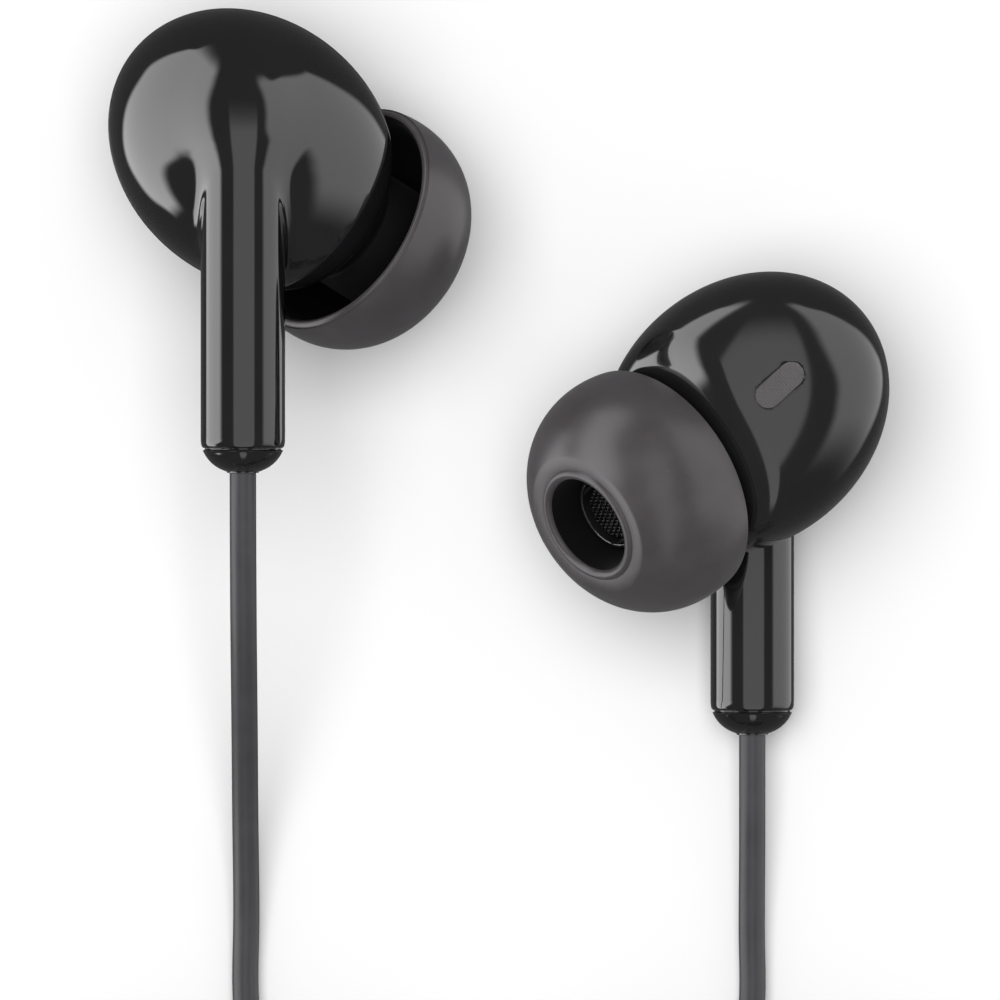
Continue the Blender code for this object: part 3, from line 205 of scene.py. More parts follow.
@dataclass(frozen=True)
class Soft:
    """Silicone or a soft cord jacket, with a dull bloom and a fine skin.

    Attributes:
        name: the material's name.
        tone: its colour.
        rough: the lowest and highest roughness.
        sheen: the weight of the bloom at a low angle.
        specular: the specular level.
        skin: the height of the fine skin.
        skin_size: its width.
        speckle: how far pale dust lightens the colour, from 0 to 1.
    """

    name: str
    tone: Colour
    rough: tuple[float, float]
    sheen: float = 0.1
    specular: float = 0.4
    skin: float = 0.002 * MM
    skin_size: float = 0.12 * MM
    speckle: float = 0.0

    def material(self) -> bpy.types.Material:
        """Builds the material."""
        shader = Shader(self.name)
        clouds = shader.noise(2.2 * MM, 5.0, 0.62)
        darker = tuple(0.88 * part for part in self.tone)
        lighter = tuple(1.10 * part for part in self.tone)
        toned = shader.blend(shader.spread(clouds, 0.0, 1.0), darker, lighter)
        if self.speckle:
            dust = shader.spread(shader.noise(0.10 * MM, 1.0), 0.0, self.speckle, 0.70, 0.78)
            mixed = shader.node("ShaderNodeMix", data_type="RGBA")
            shader.link(dust, mixed.inputs["Factor"])
            shader.link(toned, mixed.inputs[6])
            mixed.inputs[7].default_value = (0.35, 0.34, 0.34, 1.0)
            toned = mixed.outputs[2]
        shader.colour(toned)
        shader.roughness(shader.spread(clouds, *self.rough))
        shader.set(Specular_IOR_Level=self.specular, Sheen_Weight=self.sheen, Sheen_Roughness=0.5)
        shader.bump(
            [(shader.noise(0.9 * MM, 2.0), 2.0 * self.skin), (shader.noise(self.skin_size), self.skin)],
        )
        return shader.material


@dataclass(frozen=True)
class Metal:
    """Bare or plated metal with fine scratches.

    Attributes:
        name: the material's name.
        tone: its colour.
        rough: the lowest and highest roughness.
        scratch: the height of the scratches.
    """

    name: str
    tone: Colour
    rough: tuple[float, float]
    scratch: float = 0.0005 * MM

    def material(self) -> bpy.types.Material:
        """Builds the material."""
        shader = Shader(self.name)
        wear = shader.noise(0.7 * MM, 6.0, 0.7)
        darker = tuple(0.82 * part for part in self.tone)
        shader.colour(shader.blend(shader.spread(wear, 0.0, 1.0), darker, self.tone))
        shader.roughness(shader.spread(wear, *self.rough))
        shader.set(Metallic=1.0)
        shader.bump([(shader.noise(0.05 * MM, 3.0), self.scratch)])
        return shader.material


Finish = Moulded | Soft | Metal

PIANO_BLACK = Moulded("piano_black", (0.010, 0.010, 0.011), (0.05, 0.09), 0.9, 1.0, 0.0012 * MM)
DEEP_BLACK = Moulded("deep_black", (0.012, 0.0115, 0.012), (0.08, 0.13), 0.9, 0.85, 0.0012 * MM)
CONTROL_BLACK = Moulded(
    "control_black", (0.016, 0.016, 0.017), (0.20, 0.28), 0.6, 0.2, 0.001 * MM, 0.001 * MM,
)
MATT_BLACK = Moulded("matt_black", (0.022, 0.022, 0.024), (0.42, 0.52), 0.5, 0.0, 0.0, 0.004 * MM, 0.10 * MM)
BUTTON_BLACK = Moulded("button_black", (0.034, 0.034, 0.037), (0.30, 0.38), 0.5, 0.0, 0.0, 0.002 * MM)
TIP_SILICONE = Soft("tip_silicone", (0.058, 0.052, 0.056), (0.30, 0.36), 0.08, 0.80, speckle=0.08)
# Painted shade: the ear tip's inside is the same silicone as its outside, made near black here so that its
# hollow stays dark.
TIP_INSIDE_PAINTED_SHADE = Soft("tip_inside_painted_shade", (0.005, 0.005, 0.005), (0.50, 0.60), 0.03, 0.15)
CORD_JACKET = Soft("cord_jacket", (0.055, 0.055, 0.059), (0.34, 0.42), 0.05, 0.5, 0.0015 * MM, 0.15 * MM)
SOFT_RELIEF = Soft("soft_relief", (0.030, 0.030, 0.032), (0.45, 0.55), 0.05, 0.4)
TIE_BAND = Soft("tie_band", (0.025, 0.025, 0.026), (0.5, 0.6), 0.1, 0.3, 0.006 * MM, 0.2 * MM)
WOVEN_STEEL = Metal("woven_steel", (0.55, 0.53, 0.54), (0.30, 0.42))
DARK_WEAVE = Metal("dark_weave", (0.045, 0.045, 0.047), (0.35, 0.45))
PRESSED_STEEL = Metal("pressed_steel", (0.45, 0.45, 0.46), (0.28, 0.40))
PLATED_MAGNET = Metal("plated_magnet", (0.30, 0.30, 0.31), (0.22, 0.34))
COPPER_WIRE = Metal("copper_wire", (0.70, 0.33, 0.18), (0.25, 0.35))
GOLD_PLATE = Metal("gold_plate", (0.85, 0.68, 0.36), (0.12, 0.20))
POLYMER_FILM = Moulded("polymer_film", (0.50, 0.45, 0.30), (0.30, 0.42), 0.5, 0.0, 0.0, 0.001 * MM)
CIRCUIT_BOARD = Moulded(
    "circuit_board", (0.02, 0.16, 0.07), (0.35, 0.48), 0.5, 0.2, 0.0, 0.002 * MM, 0.3 * MM,
)
BLACK_INSULATOR = Moulded("black_insulator", (0.02, 0.02, 0.02), (0.30, 0.40), 0.5, 0.0, 0.0, 0.001 * MM)

_MATERIALS: dict[str, bpy.types.Material] = {}


def finish_of(finish: Finish) -> bpy.types.Material:
    """The material of a finish, built once."""
    if finish.name not in _MATERIALS:
        _MATERIALS[finish.name] = finish.material()
    return _MATERIALS[finish.name]


# ---------------------------------------------------------------- mesh building
def piece_of(name: str, mesh: bpy.types.Mesh, *finishes: Finish) -> bpy.types.Object:
    """Puts a mesh into the scene as a piece with these finishes."""
    mesh.materials.clear()
    for finish in finishes:
        mesh.materials.append(finish_of(finish))
    made = bpy.data.objects.new(name, mesh)
    bpy.context.scene.collection.objects.link(made)
    LOG.info("%s: %d faces", name, len(mesh.polygons))
    return made


def mesh_from(name: str, points: Points, faces: Sequence[Sequence[int]]) -> bpy.types.Mesh:
    """A smooth-shaded mesh from points in metres and faces."""
    mesh = bpy.data.meshes.new(name)
    mesh.from_pydata([tuple(point) for point in points], [], [tuple(face) for face in faces])
    mesh.shade_smooth()
    mesh.update()
    return mesh


def creased(mesh: bpy.types.Mesh, degrees: float = 40.0) -> bpy.types.Mesh:
    """Keeps edges sharper than this angle crisp."""
    mesh.set_sharp_from_angle(angle=math.radians(degrees))
    return mesh


def joined(name: str, *meshes: bpy.types.Mesh) -> bpy.types.Mesh:
    """Several meshes as one, the faces of each with the next material."""
    points, faces, numbers = [], [], []
    for number, mesh in enumerate(meshes):
        first = len(points)
        points += [tuple(vertex.co) for vertex in mesh.vertices]
        for face in mesh.polygons:
            faces.append([first + corner for corner in face.vertices])
            numbers.append(number)
    made = mesh_from(name, np.array(points), faces)
    made.polygons.foreach_set("material_index", numbers)
    return creased(made, 50.0)


def lofted(name: str, rings: Points) -> bpy.types.Mesh:
    """A closed mesh through rings of as many points each, with flat ends."""
    count, around = rings.shape[:2]
    faces = [
        (
            row * around + i, row * around + (i + 1) % around,
            (row + 1) * around + (i + 1) % around, (row + 1) * around + i,
        )
        for row in range(count - 1)
        for i in range(around)
    ]
    faces += [tuple(range(around))[::-1], tuple((count - 1) * around + i for i in range(around))]
    return facing_out(mesh_from(name, rings.reshape(-1, 3), faces))


def unit(vector: Sequence[float]) -> Points:
    """The vector at length 1."""
    return np.asarray(vector, float) / np.linalg.norm(vector)


@dataclass(frozen=True)
class Axis:
    """A turning axis with a frame across it.

    Attributes:
        foot: a point on it, in metres.
        way: its direction.
    """

    foot: tuple[float, float, float]
    way: tuple[float, float, float]

    def matrix(self) -> Points:
        """Columns: two directions across the axis, and the axis itself."""
        along = unit(self.way)
        helper = (0.0, 0.0, 1.0) if abs(along[2]) < 0.9 else (1.0, 0.0, 0.0)
        first = unit(np.cross(helper, along))
        return np.stack([first, np.cross(along, first), along], axis=1)

    def world(self, local: Points) -> Points:
        """Takes points from the axis' own frame, in metres, to the scene."""
        return np.asarray(self.foot) + np.asarray(local) @ self.matrix().T

    def turned(self, name: str, profile: Points, segments: int = 96, closed: bool = False) -> bpy.types.Mesh:
        """Turns a profile of (radius, height) points round the axis.

        Args:
            name: the mesh's name.
            profile: the points, whose ends lie on the axis unless it is closed.
            segments: the number of faces round the axis.
            closed: whether the last point joins the first.

        Returns:
            The closed mesh, facing outwards.
        """
        profile = np.asarray(profile, float)
        points, starts = [], []
        for radius, height in profile:
            starts.append(len(points))
            if radius < 1e-9:
                points.append((0.0, 0.0, height))
                continue
            for i in range(segments):
                angle = 2 * math.pi * i / segments
                points.append((radius * math.cos(angle), radius * math.sin(angle), height))
        faces = []
        last = len(profile) if closed else len(profile) - 1
        for row in range(last):
            low, high = row, (row + 1) % len(profile)
            for i in range(segments):
                after = (i + 1) % segments
                corners = []
                for line, spot in ((low, i), (low, after), (high, after), (high, i)):
                    corner = starts[line] + (spot if profile[line][0] >= 1e-9 else 0)
                    if corner not in corners:
                        corners.append(corner)
                faces.append(corners)
        mesh = mesh_from(name, self.world(np.array(points)), faces)
        return facing_out(mesh)


def facing_out(mesh: bpy.types.Mesh) -> bpy.types.Mesh:
    """Turns a closed mesh's faces outwards."""
    count = len(mesh.vertices)
    places = np.empty(count * 3)
    mesh.vertices.foreach_get("co", places)
    places = places.reshape(-1, 3)
    mesh.calc_loop_triangles()
    corners = np.empty(len(mesh.loop_triangles) * 3, np.int32)
    mesh.loop_triangles.foreach_get("vertices", corners)
    triangles = places[corners.reshape(-1, 3)]
    middle = places.mean(axis=0)
    volume = np.einsum(
        "ij,ij->i", triangles[:, 0] - middle, np.cross(triangles[:, 1] - middle, triangles[:, 2] - middle)
    ).sum()
    if volume < 0.0:
        mesh.flip_normals()
    return mesh


def rounded_profile(corners: Sequence[tuple[float, float, float]], steps: int = 6) -> Points:
    """Rounds a profile's corners with arcs.

    Args:
        corners: (radius, height, rounding) of each corner.
        steps: the number of points on each arc.

    Returns:
        The rounded profile.
    """
    spots = np.array([corner[:2] for corner in corners], float)
    made = [spots[0]]
    for i in range(1, len(spots) - 1):
        rounding = corners[i][2]
        back = spots[i - 1] - spots[i]
        ahead = spots[i + 1] - spots[i]
        reach = min(rounding, 0.49 * np.linalg.norm(back), 0.49 * np.linalg.norm(ahead))
        if reach < 1e-9:
            made.append(spots[i])
            continue
        start = spots[i] + reach * unit(back)
        end = spots[i] + reach * unit(ahead)
        for step in range(steps + 1):
            t = step / steps
            made.append((1 - t) ** 2 * start + 2 * t * (1 - t) * spots[i] + t**2 * end)
    made.append(spots[-1])
    return np.array(made)


def smooth_line(points: Points, count: int) -> Points:
    """Evenly spaced points on a smooth curve through these, ends kept."""
    points = np.asarray(points, float)
    padded = np.vstack([2 * points[0] - points[1], points, 2 * points[-1] - points[-2]])
    fine = []
    for i in range(1, len(padded) - 2):
        before, start, end, after = padded[i - 1 : i + 3]
        first = np.linalg.norm(start - before) ** 0.5
        second = np.linalg.norm(end - start) ** 0.5
        third = np.linalg.norm(after - end) ** 0.5
        slope_in = second * ((start - before) / first - (end - before) / (first + second)) + (end - start)
        slope_out = second * ((after - end) / third - (after - start) / (second + third)) + (end - start)
        for t in np.linspace(0.0, 1.0, 24, endpoint=False):
            fine.append(
                (2 * t**3 - 3 * t**2 + 1) * start
                + (t**3 - 2 * t**2 + t) * slope_in
                + (3 * t**2 - 2 * t**3) * end
                + (t**3 - t**2) * slope_out
            )
    fine.append(points[-1])
    fine = np.array(fine)
    along = np.concatenate([[0.0], np.cumsum(np.linalg.norm(np.diff(fine, axis=0), axis=1))])
    spots = np.linspace(0.0, along[-1], count)
    return np.stack([np.interp(spots, along, fine[:, k]) for k in range(points.shape[1])], axis=1)


# ---------------------------------------------------------------- implicit forms
def melt(first: Points, second: Points, width: float) -> Points:
    """The union of two fields, blended over this width."""
    share = np.clip(0.5 + 0.5 * (second - first) / width, 0.0, 1.0)
    return second * (1 - share) + first * share - width * share * (1 - share)


def carve(first: Points, second: Points, width: float) -> Points:
    """What two fields share, with the edge between them rounded over this width."""
    return -melt(-first, -second, width)


@dataclass(frozen=True)
class Skin:
    """The surface of a field, as an even mesh with exact normals.

    Attributes:
        low: the lowest corner of the space looked at.
        high: its highest corner.
        cell: the width of a face.
    """

    low: tuple[float, float, float]
    high: tuple[float, float, float]
    cell: float

    def net(self, form: Field) -> tuple[Points, Points]:
        """Wraps the form: one point in each cell that its surface crosses, four to a face."""
        lines = [np.arange(self.low[k], self.high[k] + self.cell, self.cell) for k in range(3)]
        grid = np.stack(np.meshgrid(*lines, indexing="ij"), axis=-1)
        values = form(grid)
        shape = np.array(values.shape) - 1
        corners = [(x, y, z) for x in (0, 1) for y in (0, 1) for z in (0, 1)]
        parts = [
            values[x : x + shape[0], y : y + shape[1], z : z + shape[2]] for x, y, z in corners
        ]
        held = np.stack(parts, axis=-1)
        crossed = (held.min(axis=-1) < 0) & (held.max(axis=-1) >= 0)
        cells = np.argwhere(crossed)
        held = held[crossed]
        total = np.zeros((len(cells), 3))
        count = np.zeros(len(cells))
        for a in range(8):
            for b in range(a + 1, 8):
                start, end = np.array(corners[a]), np.array(corners[b])
                if np.abs(end - start).sum() != 1:
                    continue
                mixed = (held[:, a] < 0) != (held[:, b] < 0)
                share = held[:, a] / np.where(mixed, held[:, a] - held[:, b], 1.0)
                total += np.where(mixed, 1.0, 0.0)[:, None] * (start + share[:, None] * (end - start))
                count += mixed
        places = np.array(self.low) + self.cell * (cells + total / count[:, None])
        index = np.full(shape, -1)
        index[tuple(cells.T)] = np.arange(len(cells))
        faces = []
        for k in range(3):
            u, v = (k + 1) % 3, (k + 2) % 3
            near = [slice(None)] * 3
            far = [slice(None)] * 3
            near[k], far[k] = slice(0, -1), slice(1, None)
            inside, beyond = values[tuple(near)] < 0, values[tuple(far)] < 0
            edges = np.argwhere(inside != beyond)
            edges = edges[(edges[:, u] > 0) & (edges[:, v] > 0)]
            edges = edges[(edges[:, u] < shape[u]) & (edges[:, v] < shape[v])]
            leaving = inside[tuple(edges.T)]
            ring = []
            for du, dv in ((0, 0), (-1, 0), (-1, -1), (0, -1)):
                spot = edges.copy()
                spot[:, u] += du
                spot[:, v] += dv
                ring.append(index[tuple(spot.T)])
            quads = np.stack(ring, axis=1)
            quads[~leaving] = quads[~leaving][:, ::-1]
            faces.append(quads)
        return places, np.concatenate(faces)

    def slope(self, form: Field, places: Points) -> Points:
        """The field's gradient at these places."""
        reach = 0.05 * self.cell
        parts = []
        for k in range(3):
            step = np.zeros(3)
            step[k] = reach
            parts.append((form(places + step) - form(places - step)) / (2 * reach))
        return np.stack(parts, axis=-1)

    def settle(self, form: Field, places: Points) -> Points:
        """Moves places along the gradient onto the surface."""
        for _ in range(3):
            slope = self.slope(form, places)
            size = np.maximum((slope**2).sum(axis=1), 0.05)
            shift = -(form(places) / size)[:, None] * slope
            length = np.linalg.norm(shift, axis=1, keepdims=True)
            places = places + shift * np.minimum(1.0, self.cell / np.maximum(length, 1e-12))
        return places

    def wrap(self, name: str, form: Field, to_world: Callable[[Points], Points]) -> bpy.types.Mesh:
        """The form's surface as a mesh in the scene.

        Args:
            name: the mesh's name.
            form: the field, negative inside, in the same units as the corners.
            to_world: what takes its places to the scene, in metres.

        Returns:
            A closed mesh whose normals follow the field.
        """
        places, faces = self.net(form)
        ends = np.concatenate([faces[:, [0, 1]], faces[:, [1, 2]], faces[:, [2, 3]], faces[:, [3, 0]]])
        for _ in range(4):
            places = self.settle(form, places)
            total = np.zeros_like(places)
            count = np.zeros(len(places))
            np.add.at(total, ends[:, 0], places[ends[:, 1]])
            np.add.at(count, ends[:, 0], 1)
            slope = self.slope(form, places)
            facing = slope / np.maximum(np.linalg.norm(slope, axis=1, keepdims=True), 1e-9)
            pull = total / np.maximum(count, 1)[:, None] - places
            pull -= (pull * facing).sum(axis=1)[:, None] * facing
            places = places + 0.5 * pull
        places = self.settle(form, places)
        slope = self.slope(form, places)
        facing = slope / np.maximum(np.linalg.norm(slope, axis=1, keepdims=True), 1e-9)
        mesh = mesh_from(name, to_world(places), faces)
        facing_out(mesh)
        ends_at = to_world(places + 0.01 * facing) - to_world(places)
        ends_at /= np.linalg.norm(ends_at, axis=1, keepdims=True)
        mesh.normals_split_custom_set_from_vertices([tuple(way) for way in ends_at])
        return mesh


# ---------------------------------------------------------------- cords
@dataclass(frozen=True)
class CoilForm:
    """A round coil wound in and out again in layers.

    Attributes:
        centre: its centre line's lowest turn, in metres.
        radius: at the middle of its turns.
        diameter: of the cord.
        turns: how many.
        start: the angle at which the first begins.
        way: 1 anticlockwise, -1 clockwise.
        gap: between neighbouring turns, in metres.
        layers: in which the turns are wound.
        segments: of the centre line in each turn.
    """

    centre: tuple[float, float, float]
    radius: float
    diameter: float
    turns: float
    start: float
    way: int
    gap: float = 0.5 * MM
    layers: int = 4
    segments: int = 24

    def route(self) -> Points:
        """The turns' centre line, with a straight end at each side."""
        pitch = self.diameter + self.gap
        per_layer = self.turns / self.layers
        outer = self.radius + pitch * per_layer / 2
        inner = outer - pitch * per_layer
        steps = round(self.turns * self.segments)
        points = []
        for i in range(steps + 1):
            turn = self.turns * i / steps
            layer = min(int(turn / per_layer), self.layers - 1)
            within = turn - layer * per_layer
            distance = outer - pitch * within if layer % 2 == 0 else inner + pitch * within
            level = sum(
                self.rise((turn - reverse * per_layer + 0.25) / 0.5) for reverse in range(1, self.layers)
            )
            angle = self.start + self.way * 2 * math.pi * turn
            spot = (distance * math.cos(angle), distance * math.sin(angle), pitch * level)
            points.append(np.array(self.centre) + spot)
        first = self.way * np.array([-math.sin(self.start), math.cos(self.start), 0.0])
        last_angle = self.start + self.way * 2 * math.pi * self.turns
        last = self.way * np.array([-math.sin(last_angle), math.cos(last_angle), 0.0])
        return np.array([points[0] - self.diameter * first, *points, points[-1] + self.diameter * last])

    @staticmethod
    def rise(share: float) -> float:
        """A smooth step from 0 to 1."""
        share = min(max(share, 0.0), 1.0)
        return share * share * (3.0 - 2.0 * share)


def cubic_route(points: Sequence[Sequence[float]], first: Points, last: Points, step: float) -> Points:
    """Evenly spaced points on the cubic curve through a route's points.

    Args:
        points: the route, in metres.
        first: its direction at the start.
        last: its direction at the end.
        step: the distance between the points.

    Returns:
        The points.
    """
    spots = np.array([tuple(point) for point in points], float)
    gaps = np.linalg.norm(np.diff(spots, axis=0), axis=1)
    count = len(spots)
    system, target = np.eye(count), np.zeros((count, 3))
    target[0], target[-1] = unit(first), unit(last)
    for i in range(1, count - 1):
        before, after = gaps[i - 1], gaps[i]
        system[i, i - 1 : i + 2] = (after, 2.0 * (before + after), before)
        ahead, behind = (spots[i + 1] - spots[i]) / after, (spots[i] - spots[i - 1]) / before
        target[i] = 3.0 * (after * behind + before * ahead)
    slopes = np.linalg.solve(system, target)
    fine = []
    for i in range(count - 1):
        for t in np.linspace(0.0, 1.0, 40, endpoint=False):
            fine.append(
                (2 * t**3 - 3 * t**2 + 1) * spots[i]
                + (t**3 - 2 * t**2 + t) * gaps[i] * slopes[i]
                + (3 * t**2 - 2 * t**3) * spots[i + 1]
                + (t**3 - t**2) * gaps[i] * slopes[i + 1]
            )
    fine.append(spots[-1])
    fine = np.array(fine)
    along = np.concatenate([[0.0], np.cumsum(np.linalg.norm(np.diff(fine, axis=0), axis=1))])
    places = np.linspace(0.0, along[-1], max(3, round(along[-1] / step) + 1))
    return np.stack([np.interp(places, along, fine[:, k]) for k in range(3)], axis=1)


class TubeTree:
    """The node tree that runs a round jacket along a path.

    Its inputs are the path's mesh, the radius, the number of faces round it and the material.
    """

    def __init__(self) -> None:
        tree = bpy.data.node_groups.new("jacket_along_path", "GeometryNodeTree")
        sides = tree.interface
        sides.new_socket("Path", in_out="INPUT", socket_type="NodeSocketGeometry")
        sides.new_socket("Radius", in_out="INPUT", socket_type="NodeSocketFloat")
        sides.new_socket("Faces Round", in_out="INPUT", socket_type="NodeSocketInt")
        sides.new_socket("Finish", in_out="INPUT", socket_type="NodeSocketMaterial")
        sides.new_socket("Jacket", in_out="OUTPUT", socket_type="NodeSocketGeometry")
        add, link = tree.nodes.new, tree.links.new
        given, result = add("NodeGroupInput"), add("NodeGroupOutput")
        line, ring = add("GeometryNodeMeshToCurve"), add("GeometryNodeCurvePrimitiveCircle")
        tube, shade = add("GeometryNodeCurveToMesh"), add("GeometryNodeSetShadeSmooth")
        whole, dress = add("GeometryNodeRealizeInstances"), add("GeometryNodeSetMaterial")
        tube.inputs["Fill Caps"].default_value = True
        link(given.outputs["Path"], line.inputs["Mesh"])
        link(given.outputs["Radius"], ring.inputs["Radius"])
        link(given.outputs["Faces Round"], ring.inputs["Resolution"])
        link(line.outputs["Curve"], tube.inputs["Curve"])
        link(ring.outputs["Curve"], tube.inputs["Profile Curve"])
        link(tube.outputs["Mesh"], shade.inputs["Geometry"])
        link(shade.outputs["Geometry"], whole.inputs["Geometry"])
        link(whole.outputs["Geometry"], dress.inputs["Geometry"])
        link(given.outputs["Finish"], dress.inputs["Material"])
        link(dress.outputs["Geometry"], result.inputs["Jacket"])
        self.tree = tree


def grown(
    name: str, base: bpy.types.Mesh, tree: bpy.types.NodeTree, inputs: dict[str, object]
) -> bpy.types.Mesh:
    """Applies a node tree to a mesh.

    Args:
        name: the new mesh's name.
        base: the mesh that it starts from.
        tree: the node tree.
        inputs: its named inputs.

    Returns:
        The finished mesh.
    """
    holder = bpy.data.objects.new(name + "_base", base)
    bpy.context.scene.collection.objects.link(holder)
    modifier = holder.modifiers.new("grow", "NODES")
    modifier.node_group = tree
    sockets = {item.name: item.identifier for item in tree.interface.items_tree if item.in_out == "INPUT"}
    for key, value in inputs.items():
        modifier[sockets[key]] = value
    graph = bpy.context.evaluated_depsgraph_get()
    mesh = bpy.data.meshes.new_from_object(holder.evaluated_get(graph), depsgraph=graph)
    mesh.name = name
    bpy.data.objects.remove(holder)
    return mesh


def path_mesh(name: str, *chains: Points) -> bpy.types.Mesh:
    """A mesh of chains of edges."""
    mesh = bpy.data.meshes.new(name)
    points, edges = [], []
    for chain in chains:
        first = len(points)
        points += [tuple(point) for point in chain]
        edges += [(i, i + 1) for i in range(first, len(points) - 1)]
    mesh.from_pydata(points, edges, [])
    return mesh


@dataclass
class Cord:
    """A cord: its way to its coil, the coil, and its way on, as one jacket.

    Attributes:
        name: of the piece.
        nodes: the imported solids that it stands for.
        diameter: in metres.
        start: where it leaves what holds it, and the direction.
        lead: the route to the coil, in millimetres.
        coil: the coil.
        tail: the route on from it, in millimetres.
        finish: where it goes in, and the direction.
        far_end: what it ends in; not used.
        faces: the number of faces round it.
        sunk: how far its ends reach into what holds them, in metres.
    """

    name: str
    nodes: tuple[str, ...]
    diameter: float
    start: tuple[Sequence[float], Sequence[float]]
    lead: Route
    coil: CoilForm
    tail: Route
    finish: tuple[Sequence[float], Sequence[float]]
    far_end: FarEnd
    faces: int = 24
    sunk: float = 0.35 * MM

    def path(self) -> Points:
        """The whole centre line."""
        turns = self.coil.route()
        way_in, way_out = turns[1] - turns[0], turns[-1] - turns[-2]
        step = 0.5 * self.diameter
        lead = [self.start[0], *(MM * np.array(spot) for spot in self.lead), turns[0]]
        tail = [turns[-1], *(MM * np.array(spot) for spot in self.tail), self.finish[0]]
        lead_line = cubic_route(lead, self.start[1], way_in, step)
        tail_line = cubic_route(tail, way_out, self.finish[1], step)
        wound = smooth_line(turns, 3 * len(turns))
        into = lead_line[0] - self.sunk * unit(self.start[1])
        on = tail_line[-1] + self.sunk * unit(self.finish[1])
        return np.array([into, *lead_line[:-1], *wound, *tail_line[1:], on])

    def build(self, tube: TubeTree, with_pieces: Sequence[bpy.types.Object] = ()) -> bpy.types.Object:
        """Args:
            tube: the tree that makes it.
            with_pieces: the pieces on it; not used.

        Returns:
            The piece.
        """
        path = self.path()
        inputs = {
            "Radius": self.diameter / 2,
            "Faces Round": self.faces,
            "Finish": finish_of(CORD_JACKET),
        }
        mesh = grown(self.name, path_mesh(self.name + "_path", path), tube.tree, inputs)
        made = piece_of(self.name, facing_out(mesh), CORD_JACKET)
        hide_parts(*self.nodes)
        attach(made, ROOT_BODY)
        return made


@dataclass
class Tie:
    """A soft strap round a coil's bundle of turns, ribbed along its outside.

    Attributes:
        node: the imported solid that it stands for.
        coil: the coil that it holds.
        angle: where it lies round the coil.
        wall: its thickness, in metres.
        width: along the cord.
        gap: round the bundle.
        ribs: how many.
        rib: how deep the grooves between them are.
    """

    node: str
    coil: CoilForm
    angle: float
    wall: float = 0.5 * MM
    width: float = 3.0 * MM
    gap: float = 0.3 * MM
    ribs: int = 6
    rib: float = 0.07 * MM

    def loop(self) -> tuple[Points, Points]:
        """The strap's inner line round the bundle, outwards from the coil and up, and its normals."""
        coil = self.coil
        pitch = coil.diameter + coil.gap
        outer = coil.radius + pitch * coil.turns / coil.layers / 2
        inner = outer - pitch * coil.turns / coil.layers
        bend = self.width**2 / 8 / (inner - coil.diameter / 2)
        left = inner - coil.diameter / 2 - bend - self.gap
        right = outer + coil.diameter / 2 + self.gap
        bottom = -coil.diameter / 2 - self.gap
        top = bottom + (coil.layers - 1) * pitch + coil.diameter + 2 * self.gap
        corner = coil.diameter / 2
        places, normals = [], []
        for x, y, start in ((right, bottom, -90), (right, top, 0), (left, top, 90), (left, bottom, 180)):
            centre = np.array(
                [x - math.copysign(corner, x - left - 1e-9), y + (corner if y == bottom else -corner)],
            )
            for turn in np.radians(start + np.linspace(0.0, 90.0, 13)):
                normal = np.array([math.cos(turn), math.sin(turn)])
                places.append(centre + corner * normal)
                normals.append(normal)
        return np.array(places), np.array(normals)

    def section(self) -> Points:
        """The strap's section: along the cord, and out from the bundle."""
        spots = [(-self.width / 2 + 0.1 * MM, 0.0), (-self.width / 2, 0.1 * MM)]
        run = np.linspace(-0.5, 0.5, 12 * self.ribs + 1)
        for share in run:
            groove = self.rib * (0.5 - 0.5 * math.cos(2 * math.pi * self.ribs * share)) ** 3
            edge = 0.12 * MM * max(0.0, abs(share) - 0.46) / 0.04
            spots.append((share * self.width, self.wall - self.rib + groove - edge))
        return np.array([*spots, (self.width / 2, 0.1 * MM), (self.width / 2 - 0.1 * MM, 0.0)])

    def build(self) -> bpy.types.Object:
        """Builds the strap in place of its solid."""
        places, normals = self.loop()
        section = self.section()
        out = np.array([math.cos(self.angle), math.sin(self.angle), 0.0])
        along = np.array([math.sin(self.angle), -math.cos(self.angle), 0.0])
        up = np.array([0.0, 0.0, 1.0])
        rows = []
        for place, normal in zip(places, normals):
            spots = place + section[:, 1:] * normal
            rows.append(
                np.array(self.coil.centre) + spots[:, :1] * out + spots[:, 1:] * up + section[:, :1] * along
            )
        rings = np.array(rows)
        count, around = rings.shape[:2]
        faces = [
            (
                row * around + i,
                row * around + (i + 1) % around,
                (row + 1) % count * around + (i + 1) % around,
                (row + 1) % count * around + i,
            )
            for row in range(count)
            for i in range(around)
        ]
        name = self.node + "_strap"
        mesh = creased(facing_out(mesh_from(name, rings.reshape(-1, 3), faces)), 55.0)
        made = piece_of(name, mesh, TIE_BAND)
        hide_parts(self.node)
        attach(made, ROOT_BODY)
        return made


